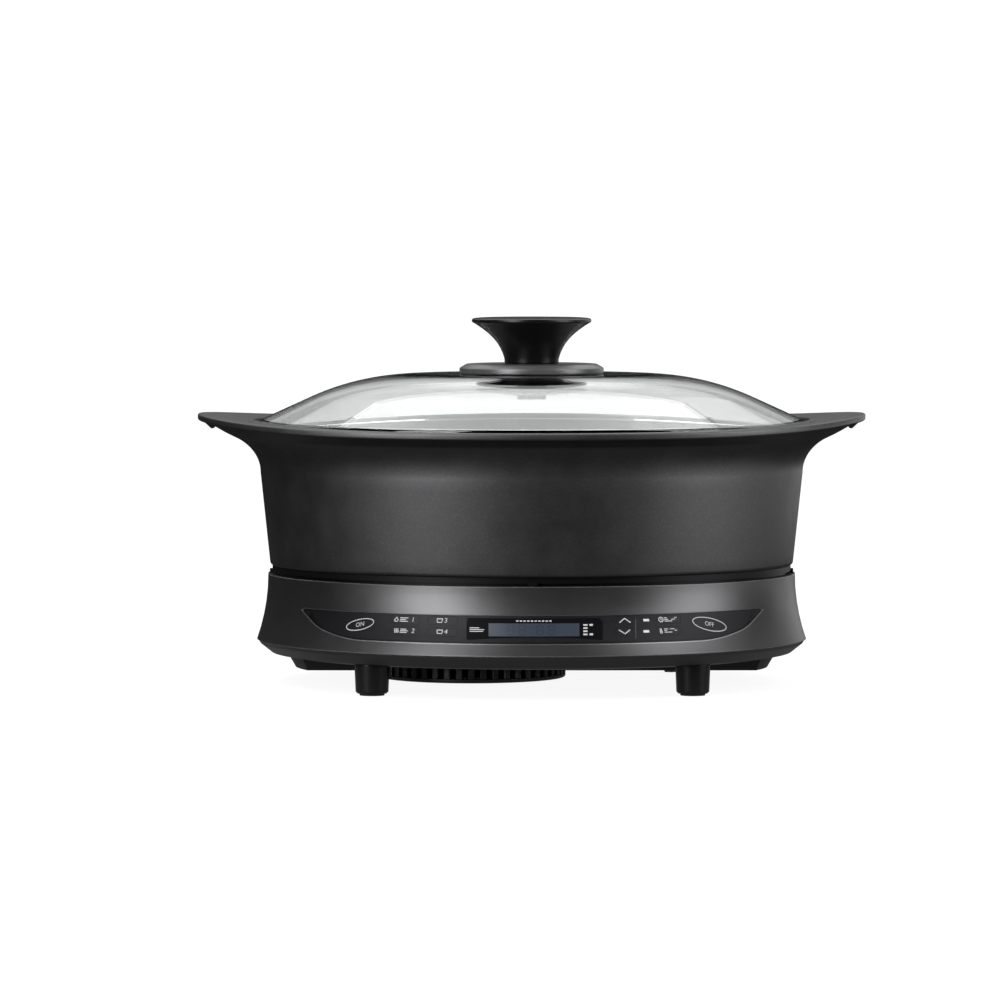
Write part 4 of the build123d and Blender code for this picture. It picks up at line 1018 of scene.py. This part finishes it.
def shadow_band(x, z, away):
    """Band of painted shadow where the recess shades the sheet's edge, at the sheet's depth, narrow along the
    bottom and wide at the tips.
    """
    share = max(0.0, (z - PANEL_BOTTOM_Z) / (PANEL_TOP_Z - PANEL_BOTTOM_Z))
    inner = (x - copysign(DARK_TIP * share ** 1.5, x), z + DARK_EDGE * (1 - share))
    edge = (x - away[0] * DARK_GAP, z - away[1] * DARK_GAP)
    top = PANEL_DEPTH - INK_THICKNESS
    bottom = PANEL_DEPTH + INK_THICKNESS
    return [(*inner, bottom), (*inner, top), (*edge, top), (*edge, bottom)]


def make_panel_edge_shading():
    """Lip with a painted highlight and a band of painted shadow along the lower side of the panel, and the
    printed divider.
    """
    edge_band("panel_trim", bright_edge, "edge_line", "graphite_plastic")
    edge_band("panel_border", shadow_band, "recess_black", "panel_sheet")
    z = DISPLAY_PLACE[1]

    def upright(u, v):
        return casing_point(DIVIDER_X + u, z + v, PANEL_DEPTH - INK_THICKNESS)

    shape = bmesh.new()
    add_line(shape, upright, [(0.0, -DIVIDER_HALF), (0.0, 0.0), (0.0, DIVIDER_HALF)], DIVIDER_LINE)
    out = casing_directions(DIVIDER_X, z)[2]
    finish_print("panel_divider", shape, out, "base", "panel_sheet", "divider_grey")


# Fan grille

def ring_repeat_tree():
    """Geometry nodes that stand copies of a bar evenly round a circle, beside the mesh they are put on."""
    tree = bpy.data.node_groups.new("bars_round_a_ring", "GeometryNodeTree")
    sockets = {}
    for label, kind in (("Rings", "Geometry"), ("Bar Count", "Int"), ("Ring Radius", "Float"),
                        ("Centre", "Vector"), ("Bar", "Object"), ("Finish", "Material")):
        socket = tree.interface.new_socket(label, in_out="INPUT", socket_type="NodeSocket" + kind)
        sockets[label] = socket.identifier
    tree.interface.new_socket("Grille", in_out="OUTPUT", socket_type="NodeSocketGeometry")
    start = tree.nodes.new("NodeGroupInput")
    end = tree.nodes.new("NodeGroupOutput")
    circle = add_node(tree, "GeometryNodeMeshCircle")
    wire(tree, start, "Bar Count", circle, "Vertices")
    wire(tree, start, "Ring Radius", circle, "Radius")
    place = add_node(tree, "GeometryNodeTransform")
    wire(tree, circle, "Mesh", place, "Geometry")
    wire(tree, start, "Centre", place, "Translation")
    number = add_node(tree, "GeometryNodeInputIndex").outputs["Index"]
    share = reckon(tree, "DIVIDE", number, start.outputs["Bar Count"])
    turn = add_node(tree, "ShaderNodeCombineXYZ")
    link(tree, reckon(tree, "MULTIPLY", share, 2 * pi), turn.inputs["Z"])
    bar = add_node(tree, "GeometryNodeObjectInfo")
    wire(tree, start, "Bar", bar, "Object")
    copies = add_node(tree, "GeometryNodeInstanceOnPoints")
    wire(tree, place, "Geometry", copies, "Points")
    wire(tree, bar, "Geometry", copies, "Instance")
    wire(tree, turn, "Vector", copies, "Rotation")
    join = add_node(tree, "GeometryNodeJoinGeometry")
    wire(tree, copies, "Instances", join, "Geometry")
    wire(tree, start, "Rings", join, "Geometry")
    solid = add_node(tree, "GeometryNodeRealizeInstances")
    wire(tree, join, "Geometry", solid, "Geometry")
    finish = add_node(tree, "GeometryNodeSetMaterial")
    wire(tree, solid, "Geometry", finish, "Geometry")
    wire(tree, start, "Finish", finish, "Material")
    wire(tree, finish, "Geometry", end, "Grille")
    return tree, sockets


def repeat_round(name, rings, bar, count, radius):
    """Mesh of the rings with a bar repeated round the fan's axis."""
    tree, sockets = RING_REPEAT
    bar_object = add_object(name + "_bar", bar)
    carrier = add_object(name + "_carrier", rings)
    modifier = carrier.modifiers.new("bars", "NODES")
    modifier.node_group = tree
    inputs = {"Bar Count": count, "Ring Radius": radius * MM, "Centre": Vector((*FAN_CENTRE, 0.0)) * MM,
              "Bar": bar_object, "Finish": FINISH["black_plastic"]}
    for label, value in inputs.items():
        modifier[sockets[label]] = value
    result = evaluated_mesh(carrier)
    carrier.modifiers.remove(modifier)
    for spare in (bar_object, carrier):
        bpy.data.objects.remove(spare)
    result.name = name
    return result


def rounded_bar(name, length, width, height, bottom, edge):
    """Bar that lies along X with softened edges, standing on a height."""
    shape = bmesh.new()
    bmesh.ops.create_cube(shape, size=1.0)
    bmesh.ops.scale(shape, vec=Vector((length, width, height)) * MM, verts=shape.verts)
    bmesh.ops.translate(shape, vec=Vector((0, 0, bottom + height / 2)) * MM, verts=shape.verts)
    bmesh.ops.bevel(shape, geom=shape.edges[:], offset=edge * MM, segments=1, affect="EDGES")
    return finish_mesh(name, shape)


def make_grille():
    bottom = GRILLE_BOTTOM_Z
    floor_top = bottom + GRILLE_FLOOR
    outer = [(GRILLE_RAY_END, bottom), (GRILLE_RADIUS - 0.8, bottom), (GRILLE_RADIUS - 0.2, bottom + 0.3)]
    outer += [(GRILLE_RADIUS, bottom + 0.9), (GRILLE_RADIUS, floor_top), (GRILLE_RAY_END, floor_top)]
    hub = [(0.5, bottom), (GRILLE_RAY_START - 0.5, bottom), (GRILLE_RAY_START, bottom + 0.5)]
    hub += [(GRILLE_RAY_START, floor_top), (0.5, floor_top)]
    rim_bottom = GRILLE_TOP_Z - GRILLE_RIM
    rim_inside = GRILLE_RADIUS - GRILLE_WALL
    rim = [(rim_inside, rim_bottom), (GRILLE_RADIUS, rim_bottom)]
    rim += [(GRILLE_RADIUS, GRILLE_TOP_Z), (rim_inside, GRILLE_TOP_Z)]
    shape = bmesh.new()
    for profile in (outer, hub, rim):
        part = turned_mesh("grille_ring", profile, GRILLE_STEPS)
        part.transform(Matrix.Translation(Vector((*FAN_CENTRE, 0.0)) * MM))
        shape.from_mesh(part)
        bpy.data.meshes.remove(part)
    rings = finish_mesh("grille_rings", shape)
    rib_width = 2 * pi * GRILLE_RADIUS / GRILLE_RIBS - GRILLE_SLOT
    rib_height = rim_bottom - floor_top + 2 * GRILLE_OVERLAP
    rib = rounded_bar("grille_rib", GRILLE_WALL, rib_width, rib_height, floor_top - GRILLE_OVERLAP, 0.5)
    rings = repeat_round("grille_ribs", rings, rib, GRILLE_RIBS, GRILLE_RADIUS - GRILLE_WALL / 2)
    middle = (GRILLE_RAY_START + GRILLE_RAY_END) / 2
    ray_length = GRILLE_RAY_END - GRILLE_RAY_START + 1.0
    ray_width = 2 * pi * middle / GRILLE_RAYS - GRILLE_RAY_GAP
    ray_height = GRILLE_FLOOR - GRILLE_OVERLAP
    ray = rounded_bar("grille_ray", ray_length, ray_width, ray_height, bottom + GRILLE_OVERLAP / 2, 0.4)
    rings = repeat_round("fan_intake", rings, ray, GRILLE_RAYS, middle)
    place_piece(rings, "base", "black_plastic", ["fan_grille"])


# Stage, lights and camera

def glow_disc(tree, place, centre, radius, strength):
    """Soft round patch of the floor, bright at its middle."""
    away = add_node(tree, "ShaderNodeVectorMath", operation="DISTANCE")
    link(tree, place, away.inputs[0])
    away.inputs[1].default_value = (*centre, 0.0)
    return map_range(tree, away.outputs["Value"], radius * 0.6, radius, strength, 0.0)


def backdrop_material():
    """White sweep that the object shades, clear from behind; mirrors see it bright only in a few places."""
    material, tree = new_material("white_sweep")[:2]
    tree.nodes.clear()
    path = add_node(tree, "ShaderNodeLightPath")
    mirrored = path.outputs["Is Glossy Ray"]
    diffuse = add_node(tree, "ShaderNodeBsdfDiffuse")
    tone = map_range(tree, mirrored, 0.0, 1.0, SWEEP_TONE, MIRRORED_TONE)
    link(tree, tone, diffuse.inputs["Color"])
    glow = add_node(tree, "ShaderNodeEmission")
    place = object_coordinates(tree)
    axes = add_node(tree, "ShaderNodeSeparateXYZ")
    link(tree, place, axes.inputs["Vector"])
    behind = reckon(tree, "GREATER_THAN", axes.outputs["Y"], BEHIND_Y)
    through_glass = reckon(tree, "MULTIPLY", path.outputs["Is Transmission Ray"], behind)
    white = reckon(tree, "MULTIPLY", path.outputs["Is Camera Ray"], SWEEP_WHITE)
    direct = reckon(tree, "MAXIMUM", white, through_glass)
    right_side = reckon(tree, "GREATER_THAN", axes.outputs["X"], SIDE_GLOW_X)
    fading_up = map_range(tree, axes.outputs["Z"], 0.1, 0.6, SWEEP_WHITE, 0.5)
    patches = reckon(tree, "MULTIPLY", right_side, fading_up)
    for centre, radius, strength in FLOOR_GLOWS:
        patches = reckon(tree, "MAXIMUM", patches, glow_disc(tree, place, centre, radius, strength))
    seen_mirrored = reckon(tree, "MULTIPLY", mirrored, patches)
    link(tree, reckon(tree, "MAXIMUM", direct, seen_mirrored), glow.inputs["Strength"])
    both = add_node(tree, "ShaderNodeAddShader")
    link(tree, diffuse.outputs["BSDF"], both.inputs[0])
    link(tree, glow.outputs["Emission"], both.inputs[1])
    one_sided = add_node(tree, "ShaderNodeMixShader")
    link(tree, add_node(tree, "ShaderNodeNewGeometry").outputs["Backfacing"], one_sided.inputs["Fac"])
    link(tree, both.outputs["Shader"], one_sided.inputs[1])
    link(tree, add_node(tree, "ShaderNodeBsdfTransparent").outputs["BSDF"], one_sided.inputs[2])
    output = add_node(tree, "ShaderNodeOutputMaterial")
    wire(tree, one_sided, "Shader", output, "Surface")
    return material


def make_stage():
    """Floor that curves up into a back wall behind the object."""
    shape = bmesh.new()
    path = [(SWEEP_FRONT_Y, 0.0)] + arc_points((SWEEP_BEND_Y, SWEEP_BEND), SWEEP_BEND, -90, 0, 6)
    path.append((SWEEP_BEND_Y + SWEEP_BEND, SWEEP_TOP_Z))
    rows = [[shape.verts.new((x, y, z)) for x in SWEEP_SIDES] for y, z in path]
    for first, second in zip(rows, rows[1:]):
        shape.faces.new((first[0], first[1], second[1], second[0]))
    mesh = to_mesh("white_sweep", shape)
    mesh.shade_smooth()
    mesh.materials.append(backdrop_material())
    sweep = add_object("white_sweep", mesh)


def point_at(item, place, aim):
    item.location = place
    item.rotation_euler = (Vector(aim) - Vector(place)).to_track_quat("-Z", "Y").to_euler()


def make_lights():
    for name, (place, aim, width, height, power) in SOFTBOXES.items():
        light = bpy.data.lights.new(name, "AREA")
        light.shape = "RECTANGLE"
        light.size = width
        light.size_y = height
        light.energy = power
        point_at(add_object(name, light), place, aim)


def make_surround():
    """Surround that is white to the eye and through glass, and dark otherwise."""
    world = bpy.data.worlds.new("studio")
    scene.world = world
    world.use_nodes = True
    tree = world.node_tree
    path = add_node(tree, "ShaderNodeLightPath")
    seen = reckon(tree, "MAXIMUM", path.outputs["Is Camera Ray"], path.outputs["Is Transmission Ray"])
    background = tree.nodes["Background"]
    background.inputs["Color"].default_value = (1.0, 1.0, 1.0, 1.0)
    link(tree, map_range(tree, seen, 0.0, 1.0, SURROUND_DARK, 1.0), background.inputs["Strength"])


def make_camera():
    camera = bpy.data.cameras.new("photo_camera")
    camera.sensor_width = SENSOR_WIDTH
    camera.lens = LENS
    camera.clip_end = 50.0
    holder = add_object("photo_camera", camera)
    point_at(holder, CAMERA_PLACE, CAMERA_AIM)
    scene.camera = holder


RING_REPEAT = ring_repeat_tree()

finish_cad_nodes()
make_pot()
make_lid()
make_knob()
make_housing()
make_key_prints()
make_display()
make_panel_edge_shading()
make_grille()
make_stage()
make_lights()
make_surround()
make_camera()
scene.view_settings.view_transform = "Standard"
